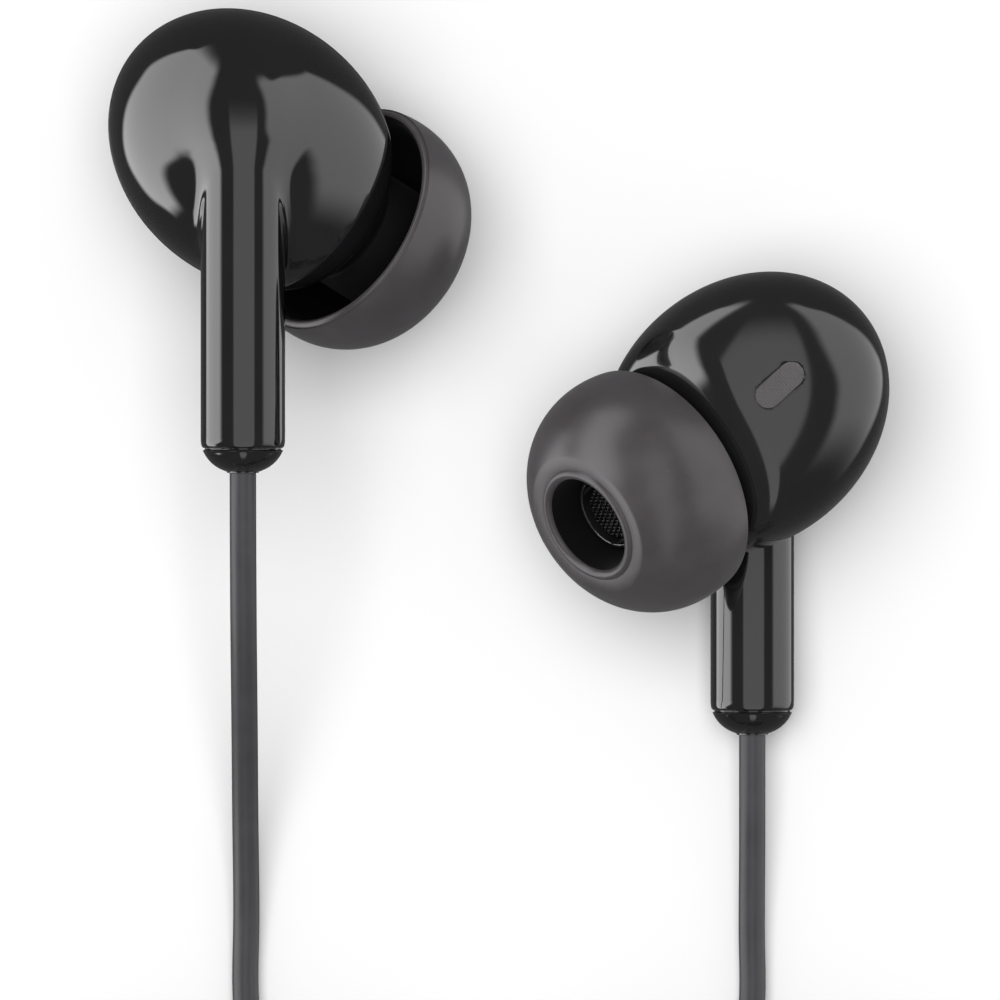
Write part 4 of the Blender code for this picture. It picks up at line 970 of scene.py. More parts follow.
# ---------------------------------------------------------------- buds
@dataclass(frozen=True)
class BudForm:
    """The measures that the pieces of a bud share, in millimetres.

    In a bud's own frame X runs across the face, Y from the face to the ear, and Z up the stem from
    its end.

    Attributes:
        wall: of the shells.
        head_x, head_y, head_z: the head's centre.
        long, short: half the head's axes, seen from the face.
        tilt: of its long axis.
        parting: where the two shells meet, along Y.
        seam: the gap between them.
        face_depth, back_depth: from the head's centre to each of its ends along Y.
        back_power: how full the back's sides are, 2 for an ellipse.
        back_lean, face_lean: how far the deepest point of each side lies from the centre, along X and Z.
        seat_edge: the rounding of the ear tip's seat.
        stem_y, stem_radius: the stem's axis and radius.
        stem_power: how square the stem's section is, 2 for a circle.
        bore_radius, bore_top: of the bore in the stem.
        cap_height: where the stem's end cap begins.
        end_in, end_up: the rounded end, across and along the stem.
        ridge: the stem's half width, half depth and middle at each height up the face.
        ridge_melt: how widely the ridge melts into the head at each height.
        rim: the centre of the ear tip's rim.
        nozzle_way: the nozzle's direction.
        shoulder, seat_slope: the radius where the seat begins to fall back, and how fast it does.
        vent, vent_size: the vent's place on the back, and its length and width.
    """

    wall: float = 0.9
    head_x: float = 0.45
    head_z: float = 17.7
    long: float = 8.47
    short: float = 7.10
    tilt: float = math.radians(42.0)
    head_y: float = 2.6
    parting: float = 1.9
    seam: float = 0.06
    face_depth: float = 6.0
    back_depth: float = 6.9
    back_power: float = 3.0
    back_lean: tuple[float, float] = (-0.4, 0.6)
    face_lean: tuple[float, float] = (-0.5, 0.0)
    seat_edge: float = 0.9
    stem_y: float = -1.9
    stem_radius: float = 2.3
    stem_power: float = 2.5
    bore_radius: float = 1.5
    bore_top: float = 14.5
    cap_height: float = 1.35
    end_in: float = 2.0
    end_up: float = 1.86
    ridge: tuple[tuple[float, float, float, float], ...] = (
        (2.0, 2.30, 2.30, -1.90),
        (12.0, 2.30, 2.30, -1.90),
        (16.0, 2.30, 2.30, -1.90),
        (17.4, 2.30, 2.24, -1.90),
        (18.4, 2.28, 2.07, -1.89),
        (19.5, 2.25, 1.77, -1.78),
        (21.0, 2.05, 1.35, -1.35),
        (22.5, 1.75, 0.90, -0.60),
        (24.0, 1.35, 0.50, 0.60),
    )
    ridge_melt: tuple[tuple[float, float], ...] = (
        (2.0, 0.5),
        (12.0, 0.5),
        (16.0, 0.6),
        (17.2, 1.1),
        (18.4, 1.8),
        (20.0, 2.0),
        (21.5, 1.7),
        (23.0, 1.1),
        (24.5, 0.4),
    )
    rim: tuple[float, float, float] = (5.16, 4.30, 14.0)
    nozzle_way: tuple[float, float, float] = (0.68, 0.60, -0.42)
    shoulder: float = 3.4
    seat_slope: float = 0.20
    vent: tuple[float, float] = (-1.34, 19.2)
    vent_size: tuple[float, float] = (3.1, 1.4)

    def across(self, places: Points) -> tuple[Points, Points]:
        """How far places lie from the head's centre along its long axis and across it."""
        x = places[..., 0] - self.head_x
        z = places[..., 2] - self.head_z
        cos_tilt, sin_tilt = math.cos(self.tilt), math.sin(self.tilt)
        return x * cos_tilt - z * sin_tilt, x * sin_tilt + z * cos_tilt

    def egg(self, places: Points, inset: float = 0.0) -> Points:
        """The whole head: an egg whose deepest point at the back leans sideways, drawn in by inset."""
        behind = places[..., 1] > self.head_y
        depth = np.where(behind, self.back_depth, self.face_depth) - inset
        deep = (places[..., 1] - self.head_y) / depth
        lean = np.clip(deep, -1.2, 1.2) ** 2
        moved = places.copy()
        moved[..., 0] -= np.where(behind, self.back_lean[0], self.face_lean[0]) * lean
        moved[..., 2] -= np.where(behind, self.back_lean[1], self.face_lean[1]) * lean
        along, across = self.across(moved)
        long, short = self.long - inset, self.short - inset
        power = np.where(behind, self.back_power, 2.0)
        wide = np.maximum(np.hypot(along / long, across / short), 1e-6)
        deep = np.maximum(np.abs(deep), 1e-6)
        level = (wide**power + deep**power) ** (1 / power)
        spread = np.hypot(along / long**2, across / short**2) / wide
        slope = np.hypot((wide / level) ** (power - 1) * spread, (deep / level) ** (power - 1) / depth)
        return (level - 1.0) / np.maximum(slope, 1e-3)

    def head(self, places: Points) -> Points:
        """The outside of the head, cut off at the ear tip's seat."""
        return carve(self.egg(places), self.seat(places)[0], self.seat_edge)

    def seat(self, places: Points) -> tuple[Points, Points, Points]:
        """The height over the ear tip's seat, and the height and radius about the nozzle's axis."""
        way = unit(self.nozzle_way)
        from_rim = places - np.array(self.rim)
        height = from_rim @ way
        radius = np.linalg.norm(from_rim - height[..., None] * way, axis=-1)
        return height + self.seat_slope * np.maximum(radius - self.shoulder, 0.0), height, radius

    def stem(self, places: Points) -> Points:
        """The stem, and the ridge that it makes up the face."""
        height = places[..., 2]
        table = np.array(self.ridge)
        lines = smooth_line(table, 200)
        half_x = np.interp(height, lines[:, 0], lines[:, 1])
        half_y = np.interp(height, lines[:, 0], lines[:, 2])
        middle = np.interp(height, lines[:, 0], lines[:, 3])
        share = np.clip(1.0 - height / self.end_up, 0.0, 1.0)
        drawn = self.end_in * (1.0 - np.sqrt(1.0 - share**2))
        half_x, half_y = half_x - drawn, half_y - drawn
        x, y = places[..., 0], places[..., 1] - middle
        power = self.stem_power
        wide, deep = np.maximum(np.abs(x / half_x), 1e-6), np.maximum(np.abs(y / half_y), 1e-6)
        level = (wide**power + deep**power) ** (1 / power)
        slope = np.hypot((wide / level) ** (power - 1) / half_x, (deep / level) ** (power - 1) / half_y)
        side = (level - 1.0) / np.maximum(slope, 1e-3)
        return carve(side, height - (lines[-1, 0] + 0.4), 0.8)

    def back_y(self, x: float, z: float) -> float:
        """How deep the back's surface lies at a point of the face."""
        heights = np.linspace(self.head_y, self.head_y + self.back_depth + 0.5, 2000)
        line = np.stack([np.full(2000, x), heights, np.full(2000, z)], axis=1)
        return float(heights[np.argmax(self.egg(line) > 0.0)])

    def slot(self, places: Points, inset: float) -> Points:
        """The round-ended slot of the vent, seen along Y and drawn in by inset."""
        x = places[..., 0] - self.vent[0]
        z = places[..., 2] - self.vent[1]
        cos_tilt, sin_tilt = math.cos(self.tilt), math.sin(self.tilt)
        along, across = x * cos_tilt - z * sin_tilt, x * sin_tilt + z * cos_tilt
        reach = (self.vent_size[0] - self.vent_size[1]) / 2
        return np.hypot(along - np.clip(along, -reach, reach), across) - self.vent_size[1] / 2 + inset


@dataclass
class BudPlace:
    """Where a bud lies, found from its packed stem cap.

    Attributes:
        side: which bud.
    """

    side: Side

    def __post_init__(self) -> None:
        low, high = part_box(f"{self.side.value}_stem_cap")
        up = 1.0 if self.side is Side.LEFT else -1.0
        self.up = up
        self.foot = np.array(
            [(low[0] + high[0]) / 2, low[1], (low[2] + high[2]) / 2 + up * BUD.stem_y * MM]
        )

    def world(self, places: Points) -> Points:
        """Takes places from the bud's frame, in millimetres, to the scene."""
        x, y, z = places[..., 0], places[..., 1], places[..., 2]
        return self.foot + MM * np.stack([self.up * x, z, -self.up * y], axis=-1)

    def axis(self, foot: Sequence[float], way: Sequence[float]) -> Axis:
        """An axis of the bud's frame, in the scene."""
        start = self.world(np.array(foot, float))
        end = self.world(np.array(foot, float) + np.array(way, float))
        return Axis(tuple(start), tuple(unit(end - start)))


BUD = BudForm()


@dataclass
class OuterShell:
    """The glossy face with the stem that runs up it.

    Attributes:
        place: where the bud lies.
        cell: the width of a face of the mesh, in millimetres.
        edge: the rounding of its cut edges.
    """

    place: BudPlace
    cell: float = 0.15
    edge: float = 0.16

    def form(self, places: Points) -> Points:
        """The shell's field: the face and the stem melted together, and hollow."""
        lines = smooth_line(np.array(BUD.ridge_melt), 200)
        width = np.interp(places[..., 2], lines[:, 0], lines[:, 1])
        outside = melt(BUD.head(places), BUD.stem(places), width)
        outside = carve(outside, places[..., 1] - BUD.parting, self.edge)
        outside = carve(outside, BUD.cap_height - places[..., 2], self.edge)
        room = np.maximum(BUD.egg(places, BUD.wall), BUD.seat(places)[0] + BUD.wall)
        bore = np.hypot(places[..., 0], places[..., 1] - BUD.stem_y) - BUD.bore_radius
        bore = np.maximum(bore, places[..., 2] - BUD.bore_top)
        return carve(outside, -np.minimum(room, bore), self.edge)

    def build(self) -> bpy.types.Object:
        """Builds the shell in place of its solid."""
        side = self.place.side.value
        skin = Skin((-9.2, -4.9, BUD.cap_height - 0.4), (9.8, BUD.parting + 0.4, 26.2), self.cell)
        mesh = skin.wrap(f"{side}_outer_skin", self.form, self.place.world)
        made = piece_of(f"{side}_outer_skin", mesh, PIANO_BLACK)
        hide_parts(f"{side}_outer_shell")
        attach(made, ROOT_BODY)
        return made


@dataclass
class InnerShell:
    """The deep back of the head, with the nozzle, its seat and the vent's pocket.

    Attributes:
        place: where the bud lies.
        cell: the width of a face of the mesh, in millimetres.
        edge: the rounding of its cut edges.
        length: of the nozzle.
        bore: the radius of its bore.
        screen_radius, screen_seat: the recess of the nozzle's mesh, and how high it begins.
        ledge, ledge_depth: the width of the step that the vent's mesh lies on, and its depth.
        spout: the nozzle's outside, as heights and radii.
    """

    place: BudPlace
    cell: float = 0.15
    edge: float = 0.16
    length: float = 4.2
    bore: float = 1.4
    screen_radius: float = 1.9
    screen_seat: float = 3.1
    ledge: float = 0.35
    ledge_depth: float = 0.6
    spout: tuple[tuple[float, float], ...] = (
        (-1.2, 3.5),
        (-0.1, 3.4),
        (0.25, 2.2),
        (2.1, 2.15),
        (2.45, 2.42),
        (2.6, 2.45),
        (3.35, 2.45),
        (4.2, 2.15),
        (5.0, 2.1),
    )

    def form(self, places: Points) -> Points:
        """The shell's field."""
        seat, height, radius = BUD.seat(places)
        outside = BUD.head(places)
        table = np.array(self.spout)
        spout = carve(radius - np.interp(height, table[:, 0], table[:, 1]), height - self.length, 0.2)
        spout = np.maximum(spout, -1.1 - height)
        outside = melt(outside, spout, 0.25)
        outside = carve(outside, BUD.parting + BUD.seam - places[..., 1], self.edge)
        room = np.maximum(BUD.egg(places, BUD.wall), seat + BUD.wall)
        bore = np.minimum(
            radius - self.bore, np.maximum(radius - self.screen_radius, self.screen_seat - height),
        )
        bore = np.maximum(bore, -3.0 - height)
        surface = BUD.back_y(*BUD.vent)
        pocket = np.maximum(BUD.slot(places, 0.0), surface - self.ledge_depth - places[..., 1])
        through = np.maximum(BUD.slot(places, self.ledge), surface - 3.0 - places[..., 1])
        cut = np.minimum(np.minimum(room, bore), np.minimum(pocket, through))
        return carve(outside, -cut, 0.5 * self.edge)

    def build(self) -> bpy.types.Object:
        """Builds the shell in place of its solid."""
        side = self.place.side.value
        skin = Skin((-9.2, BUD.parting - 0.4, 9.2), (10.6, 10.7, 26.2), self.cell)
        mesh = skin.wrap(f"{side}_inner_skin", self.form, self.place.world)
        made = piece_of(f"{side}_inner_skin", mesh, DEEP_BLACK)
        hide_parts(f"{side}_inner_shell")
        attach(made, ROOT_BODY)
        return made


@dataclass
class EarTip:
    """The soft flanged tip: a sleeve that grips the nozzle, and a skirt that turns back from its lip.

    Attributes:
        place: where the bud lies.
        radius: of the widest ring, in millimetres.
        lip: the radius of the lip at the mouth.
        length: from the rim to the lip.
        wall: of the skirt.
        sleeve: the sleeve's inner and outer radius.
        belly: the height of the widest ring over the rim.
        draw: how far the rim is drawn in from the widest ring.
    """

    place: BudPlace
    radius: float = 6.8
    lip: float = 3.33
    length: float = 6.0
    wall: float = 0.55
    sleeve: tuple[float, float] = (2.75, 3.5)
    belly: float = 1.3
    draw: float = 0.15

    def outer(self, height: float) -> float:
        """The outer radius at a height over the rim."""
        if height < self.belly:
            return self.radius - self.draw * (1.0 - height / self.belly) ** 2
        share = (height - self.belly) / (self.length - self.belly)
        return self.lip + (self.radius - self.lip) * (1.0 - min(share, 1.0) ** 2.1) ** 0.62

    def profile(self) -> Points:
        """The closed profile, from the mouth over the skirt and back up inside to the sleeve."""
        inner, outer = self.sleeve
        half = (self.lip - inner) / 2
        outside = []
        for angle in np.linspace(180.0, 20.0, 12):
            turn = math.radians(angle)
            outside.append((inner + half + half * math.cos(turn), self.length - half + half * math.sin(turn)))
        for share in 1.0 - np.linspace(0.12, 1.0, 34) ** 1.6:
            height = self.belly + share * (self.length - self.belly)
            outside.append((self.outer(height), height))
        for height in np.linspace(self.belly, 0.25 * self.wall, 7)[1:]:
            outside.append((self.outer(height), height))
        rim = self.outer(0.0)
        for angle in np.linspace(0.0, -180.0, 9):
            turn = math.radians(angle)
            round_off = self.wall / 2
            centre = rim - round_off
            outside.append((centre + round_off * math.cos(turn), round_off + round_off * math.sin(turn)))
        inside = []
        roof = self.length - 2.2 * self.wall
        for share in np.linspace(0.0, 1.0, 26)[1:-1] ** 0.8:
            height = self.belly * 0.5 + share * (roof - self.belly * 0.5)
            spread = self.outer(min(height + 0.8 * self.wall * share, self.length)) - 1.15 * self.wall
            if spread > outer + 0.25:
                inside.append((spread, height))
        top = inside[-1][1]
        inside += [(outer + 0.12, top + 0.10), (outer, top - 0.15)]
        inside += [(outer, 0.45), (outer - 0.12, 0.32), (inner + 0.12, 0.32), (inner, 0.42)]
        return MM * np.array(outside + inside)

    def build(self) -> bpy.types.Object:
        """Builds the tip in place of its solid, on the body that slides off the nozzle."""
        side = self.place.side.value
        axis = self.place.axis(BUD.rim, BUD.nozzle_way)
        profile = self.profile()
        mesh = creased(axis.turned(f"{side}_tip_skirt", profile, 176, closed=True), 60.0)
        made = piece_of(f"{side}_tip_skirt", mesh, TIP_SILICONE, TIP_INSIDE_PAINTED_SHADE)
        # The faces past the rim, the skirt's inside and the sleeve, take the near-black painted shade instead
        # of the silicone's colour.
        rim = int(np.argmin(profile[:, 1]))
        rows = np.arange(len(mesh.polygons)) // 176
        mesh.polygons.foreach_set("material_index", (rows > rim).astype(np.int32))
        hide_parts(f"{side}_ear_tip")
        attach(made, f"{side}_tip")
        return made


@dataclass
class StemCap:
    """The rounded cap that closes the stem round the cord.

    Attributes:
        place: where the bud lies.
        height: of the seam over the end, in millimetres.
        hole: the radius of the flat end round the cord.
    """

    place: BudPlace
    height: float = 1.27
    hole: float = 0.86

    def build(self) -> bpy.types.Object:
        """Builds the cap in place of its solid."""
        side = self.place.side.value
        profile = [(0.0, 3.2), (1.1, 3.2), (1.2, 3.1), (1.2, self.height + 0.07), (2.08, self.height + 0.07)]
        for share in np.linspace(1.0, 0.0, 18) ** 1.4:
            height = share * self.height
            level = 1.0 - height / BUD.end_up
            radius = BUD.stem_radius - BUD.end_in * (1.0 - math.sqrt(1.0 - level**2))
            if share == 1.0:
                profile += [(radius - 0.10, height), (radius - 0.03, height - 0.03)]
            profile.append((max(radius, self.hole), height if share < 1.0 else height - 0.08))
        profile += [(self.hole, 0.0), (self.hole - 0.08, 0.10), (0.0, 0.10)]
        axis = self.place.axis((0.0, BUD.stem_y, 0.0), (0.0, 0.0, 1.0))
        mesh = creased(axis.turned(f"{side}_stem_end", MM * np.array(profile), 96), 45.0)
        made = piece_of(f"{side}_stem_end", mesh, PIANO_BLACK)
        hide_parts(f"{side}_stem_cap")
        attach(made, ROOT_BODY)
        return made


@dataclass
class Weave:
    """Fine woven wire cut to a round-ended outline, on a dark backing.

    Attributes:
        name: the piece's name.
        node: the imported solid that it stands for.
        axis: through its middle, pointing out, from its outer face.
        along: the direction of its long side, in metres, in the scene.
        reach: half the straight length of the outline, in millimetres.
        radius: of its round ends.
        pitch: between the wires.
        wire: the radius of a wire.
        depth: of the whole, with its backing.
        finish: the wires' finish.
    """

    name: str
    node: str
    axis: Axis
    along: tuple[float, float, float]
    reach: float
    radius: float
    pitch: float = 0.15
    wire: float = 0.034
    depth: float = 0.28
    finish: Finish = WOVEN_STEEL

    def chains(self) -> list[Points]:
        """The wires' centre lines, over and under each other."""
        total = self.reach + self.radius
        lines = []
        for long_way in (True, False):
            far = self.radius if long_way else total
            count = int(far / self.pitch)
            for number in range(-count, count + 1):
                spot = number * self.pitch
                if long_way:
                    half = self.reach + math.sqrt(max(self.radius**2 - spot**2, 0.0))
                else:
                    half = math.sqrt(max(self.radius**2 - max(abs(spot) - self.reach, 0.0) ** 2, 0.0))
                if half < 2 * self.wire:
                    continue
                run = np.linspace(-half, half, max(3, round(4 * half / self.pitch) + 1))
                sign = (1 if long_way else -1) * (-1) ** number
                height = sign * self.wire * np.cos(math.pi * run / self.pitch) - 2 * self.wire
                level = np.full_like(run, spot)
                lines.append(np.stack([run, level, height] if long_way else [level, run, height], axis=1))
        return lines

    def build(self, tube: TubeTree) -> bpy.types.Object:
        """Builds the weave in place of its solid."""
        out = unit(self.axis.way)
        along = unit(self.along)
        turn = np.stack([along, np.cross(out, along), out], axis=1)
        foot = np.array(self.axis.foot)
        chains = [foot + MM * line @ turn.T for line in self.chains()]
        inputs = {"Radius": self.wire * MM, "Faces Round": 6, "Finish": finish_of(self.finish)}
        wires = grown(self.name + "_wires", path_mesh(self.name + "_lines", *chains), tube.tree, inputs)
        angles = np.linspace(-math.pi / 2, math.pi / 2, 15)
        end = np.stack([self.reach + self.radius * np.cos(angles), self.radius * np.sin(angles)], axis=1)
        ring = np.vstack([end, -end])
        levels = (-4.2 * self.wire, -self.depth)
        rings = np.array([np.column_stack([ring, np.full(len(ring), level)]) for level in levels])
        backing = lofted(self.name + "_backing", foot + MM * rings @ turn.T)
        made = piece_of(self.name, joined(self.name, wires, backing), self.finish, MATT_BLACK)
        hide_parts(self.node)
        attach(made, ROOT_BODY)
        return made


@dataclass
class Turned:
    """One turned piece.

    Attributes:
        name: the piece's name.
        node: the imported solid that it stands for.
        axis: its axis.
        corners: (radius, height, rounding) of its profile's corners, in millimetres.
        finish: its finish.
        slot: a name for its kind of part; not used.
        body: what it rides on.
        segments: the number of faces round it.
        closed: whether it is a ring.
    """

    name: str
    node: str
    axis: Axis
    corners: Sequence[tuple[float, float, float]]
    finish: Finish
    slot: str
    body: str = ROOT_BODY
    segments: int = 96
    closed: bool = False

    def build(self) -> bpy.types.Object:
        """Builds the piece in place of its solid."""
        profile = MM * rounded_profile(self.corners)
        mesh = creased(self.axis.turned(self.name, profile, self.segments, self.closed), 38.0)
        made = piece_of(self.name, mesh, self.finish)
        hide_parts(self.node)
        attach(made, self.body)
        return made


@dataclass
class Driver:
    """The moving-coil driver: cup, magnet, top plate, and a wound coil on its domed film.

    Attributes:
        place: where the bud lies.
        back: the cup's back, over the bud's own zero, in millimetres.
        radius: of the cup.
        height: of the cup.
        wall: of the cup.
        magnet: the magnet's radius and height.
        plate: the top plate's height.
        coil: the voice coil's outer radius and height.
        wire: the diameter of its wire.
        film: the film's radius and thickness.
        crown: how far its dome rises.
        gap: between the pieces.
    """

    place: BudPlace
    back: float = 0.2
    radius: float = 4.9
    height: float = 3.4
    wall: float = 0.45
    magnet: tuple[float, float] = (2.6, 1.0)
    plate: float = 0.5
    coil: tuple[float, float] = (3.35, 1.1)
    wire: float = 0.1
    film: tuple[float, float] = (4.1, 0.22)
    crown: float = 0.7
    gap: float = 0.3

    def film_profile(self, level: float) -> list[tuple[float, float, float]]:
        """The film's profile: a dome, and a roll round it."""
        radius, thickness = self.film
        edge = self.coil[0]
        top = []
        for spot in np.linspace(0.0, edge, 26):
            top.append((spot, level + 0.25 + (self.crown - 0.25) * (1.0 - (spot / edge) ** 2)))
        for spot in np.linspace(edge, radius, 14)[1:]:
            top.append((spot, level + 0.25 + 0.25 * math.sin(math.pi * (spot - edge) / (radius - edge))))
        under = [(spot, max(height - thickness, level)) for spot, height in reversed(top)]
        return [(spot, height, 0.0) for spot, height in top + under]

    def windings(self, top: float) -> Points:
        """The coil's wire, down the outer layer and up the inner."""
        layers = round((self.coil[1] - self.wire) / self.wire)
        spots = []
        for turn in np.linspace(0.0, 2.0 * layers, 2 * layers * 36 + 1):
            down = turn <= layers
            depth = turn if down else 2 * layers - turn
            radius = self.coil[0] - self.wire * (0.5 if down else 1.45)
            angle = 2 * math.pi * turn
            spots.append(
                (radius * math.cos(angle), radius * math.sin(angle), top - self.wire * (0.5 + depth)),
            )
        return MM * np.array(spots)

    def build(self, tube: TubeTree) -> None:
        """Builds the driver's pieces in place of their solids."""
        side = self.place.side.value
        axis = self.place.axis((BUD.head_x, 0.0, BUD.head_z), (0.0, 1.0, 0.0))
        floor, top = self.back + self.wall, self.back + self.height
        inner = self.radius - self.wall
        cup = (
            (0.0, floor, 0.0), (inner, floor, 0.25), (inner, top, 0.08), (self.radius, top, 0.12),
            (self.radius, self.back, 0.35), (0.0, self.back, 0.0),
        )
        magnet_foot = floor + self.gap
        magnet_top = magnet_foot + self.magnet[1]
        plate_foot = magnet_top + self.gap
        plate_top = plate_foot + self.plate
        level = plate_top + 3 * self.gap
        core = self.magnet[0]
        magnet = (
            (0.0, magnet_top, 0.0), (core, magnet_top, 0.12),
            (core, magnet_foot, 0.12), (0.0, magnet_foot, 0.0),
        )
        plate = (
            (0.0, plate_top, 0.0), (core, plate_top, 0.06),
            (core, plate_foot, 0.06), (0.0, plate_foot, 0.0),
        )
        cone = f"{side}_cone"
        node = f"{side}_driver"
        Turned(f"{side}_cup", f"{node}_cup", axis, cup, PRESSED_STEEL, "driver_steel").build()
        Turned(f"{side}_magnet_disc", f"{node}_magnet", axis, magnet, PLATED_MAGNET, "magnet").build()
        Turned(f"{side}_pole_plate", f"{node}_top_plate", axis, plate, PRESSED_STEEL, "driver_steel").build()
        film = self.film_profile(level)
        Turned(f"{side}_film", f"{node}_diaphragm", axis, film, POLYMER_FILM, "film", cone).build()
        inputs = {"Radius": self.wire / 2 * MM, "Faces Round": 6, "Finish": finish_of(COPPER_WIRE)}
        line = path_mesh(f"{side}_winding_line", axis.world(self.windings(level - self.gap / 2)))
        wound = grown(f"{side}_winding", line, tube.tree, inputs)
        made = piece_of(f"{side}_winding", facing_out(wound), COPPER_WIRE)
        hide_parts(f"{node}_voice_coil")
        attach(made, cone)


@dataclass
class Leads:
    """The twisted pair from the cord's anchor up to the driver.

    Attributes:
        place: where the bud lies.
        wire: the radius of a wire, in millimetres.
        spread: how far a wire lies from the pair's middle.
        lay: the length of one twist.
        route: the pair's middle line in the bud's frame.
    """

    place: BudPlace
    wire: float = 0.18
    spread: float = 0.19
    lay: float = 2.0
    route: tuple[tuple[float, float, float], ...] = (
        (0.0, -1.9, 5.6),
        (0.0, -1.9, 8.9),
        (0.225, -1.5, 11.7),
        (0.45, -0.5, 13.1),
    )

    def build(self, tube: TubeTree) -> bpy.types.Object:
        """Builds the pair in place of its solid."""
        side = self.place.side.value
        up = np.array([0.0, 0.0, 1.0])
        line = cubic_route(self.route, up, up, 0.12)
        ways = np.gradient(line, axis=0)
        ways /= np.linalg.norm(ways, axis=1, keepdims=True)
        across = np.cross(ways, (1.0, 0.0, 0.0))
        across /= np.linalg.norm(across, axis=1, keepdims=True)
        other = np.cross(ways, across)
        turn = 2 * math.pi * 0.12 * np.arange(len(line)) / self.lay
        chains = []
        for sign in (1.0, -1.0):
            offset = np.cos(turn)[:, None] * across + np.sin(turn)[:, None] * other
            chains.append(self.place.world(line + sign * self.spread * offset))
        inputs = {"Radius": self.wire * MM, "Faces Round": 12, "Finish": finish_of(COPPER_WIRE)}
        mesh = grown(f"{side}_pair", path_mesh(f"{side}_pair_lines", *chains), tube.tree, inputs)
        made = piece_of(f"{side}_pair", facing_out(mesh), COPPER_WIRE)
        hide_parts(f"{side}_lead_wires")
        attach(made, ROOT_BODY)
        return made


@dataclass
class Bud:
    """One bud: its shells, tip, cap, screens, driver and leads.

    Attributes:
        side: which bud.
        screen: the nozzle's mesh: its radius, and its height over the seat.
        vent_inset: how far the vent's mesh is drawn in from its pocket's outline.
        vent_depth: how far it lies under the back's surface.
        anchor: the ferrule's radius, foot and top.
    """

    side: Side
    screen: tuple[float, float] = (1.58, 4.0)
    vent_inset: float = 0.01
    vent_depth: float = 0.03
    anchor: tuple[float, float, float] = (1.15, 3.5, 5.3)

    def build(self, tube: TubeTree) -> None:
        """Builds the bud's pieces.

        Args:
            tube: the tree that runs wires along their paths.
        """
        place, name = BudPlace(self.side), self.side.value
        for part in (OuterShell(place), InnerShell(place), EarTip(place), StemCap(place)):
            part.build()
        depth = BUD.back_y(*BUD.vent) - self.vent_depth
        at_vent = place.axis((BUD.vent[0], depth, BUD.vent[1]), (0.0, 1.0, 0.0))
        slant = (math.cos(BUD.tilt), 0.0, -math.sin(BUD.tilt))
        origin = place.world(np.zeros(3))
        along = tuple(place.world(np.array(slant)) - origin)
        length, width = BUD.vent_size
        reach, radius = (length - width) / 2, width / 2 - self.vent_inset
        Weave(f"{name}_vent_weave", f"{name}_vent_mesh", at_vent, along, reach, radius).build(tube)
        way = unit(BUD.nozzle_way)
        at_nozzle = place.axis(np.array(BUD.rim) + self.screen[1] * way, way)
        side_way = np.cross(way, (0.0, 0.0, 1.0))
        along = tuple(place.world(side_way) - origin)
        names = (f"{name}_screen_weave", f"{name}_nozzle_screen")
        radius = self.screen[0]
        Weave(
            *names, at_nozzle, along, 0.0, radius, pitch=0.2, wire=0.045, finish=DARK_WEAVE,
        ).build(tube)
        Driver(place).build(tube)
        Leads(place).build(tube)
        radius, foot, top = self.anchor
        middle = (foot + top) / 2
        ferrule = (
            (0.0, top, 0.0), (radius, top, 0.12), (radius, middle + 0.35, 0.05),
            (radius - 0.12, middle + 0.2, 0.05), (radius - 0.12, middle - 0.2, 0.05),
            (radius, middle - 0.35, 0.05), (radius, foot, 0.12), (0.0, foot, 0.0),
        )
        on_stem = place.axis((0.0, BUD.stem_y, 0.0), (0.0, 0.0, 1.0))
        Turned(
            f"{name}_ferrule", f"{name}_cord_anchor", on_stem, ferrule, PRESSED_STEEL, "driver_steel",
        ).build()


# ---------------------------------------------------------------- control and plug
@dataclass
class Sleeve:
    """A tapered flexible relief with rounded grooves round it.

    Attributes:
        name: the piece's name.
        node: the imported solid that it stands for.
        axis: its axis, from its root.
        length: in millimetres.
        root: its half width and half height at the root.
        end: the same at its end.
        grooves: how many.
        depth: of a groove.
        plain: the ungrooved length at each end.
    """

    name: str
    node: str
    axis: Axis
    length: float
    root: tuple[float, float]
    end: tuple[float, float]
    grooves: int
    depth: float = 0.22
    plain: float = 0.7

    def build(self) -> bpy.types.Object:
        """Builds the relief in place of its solid."""
        angles = np.linspace(0.0, 2 * math.pi, 72, endpoint=False)
        pitch = (self.length - 2 * self.plain) / self.grooves
        rings = []
        for height in np.linspace(0.0, self.length, 16 * self.grooves + 1):
            share = height / self.length
            cut = 0.0
            if self.plain < height < self.length - self.plain:
                wave = 0.5 - 0.5 * math.cos(2 * math.pi * (height - self.plain) / pitch)
                cut = self.depth * min(1.0, 1.6 * wave**2)
            nearest = min(height, self.length - height)
            cut += 0.12 * (1.0 - min(nearest / 0.15, 1.0)) ** 2
            half_x = self.root[0] + share * (self.end[0] - self.root[0]) - cut
            half_y = self.root[1] + share * (self.end[1] - self.root[1]) - cut
            ring = [half_x * np.cos(angles), half_y * np.sin(angles), np.full(len(angles), height)]
            rings.append(np.stack(ring, axis=1))
        places = self.axis.world(MM * np.array(rings))
        made = piece_of(self.name, creased(lofted(self.name, places), 60.0), SOFT_RELIEF)
        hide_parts(self.node)
        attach(made, ROOT_BODY)
        return made


@dataclass(frozen=True)
class Button:
    """One of the control's buttons.

    Attributes:
        body: the body that it moves with.
        place: of its middle, along the control.
    """

    body: str
    place: float


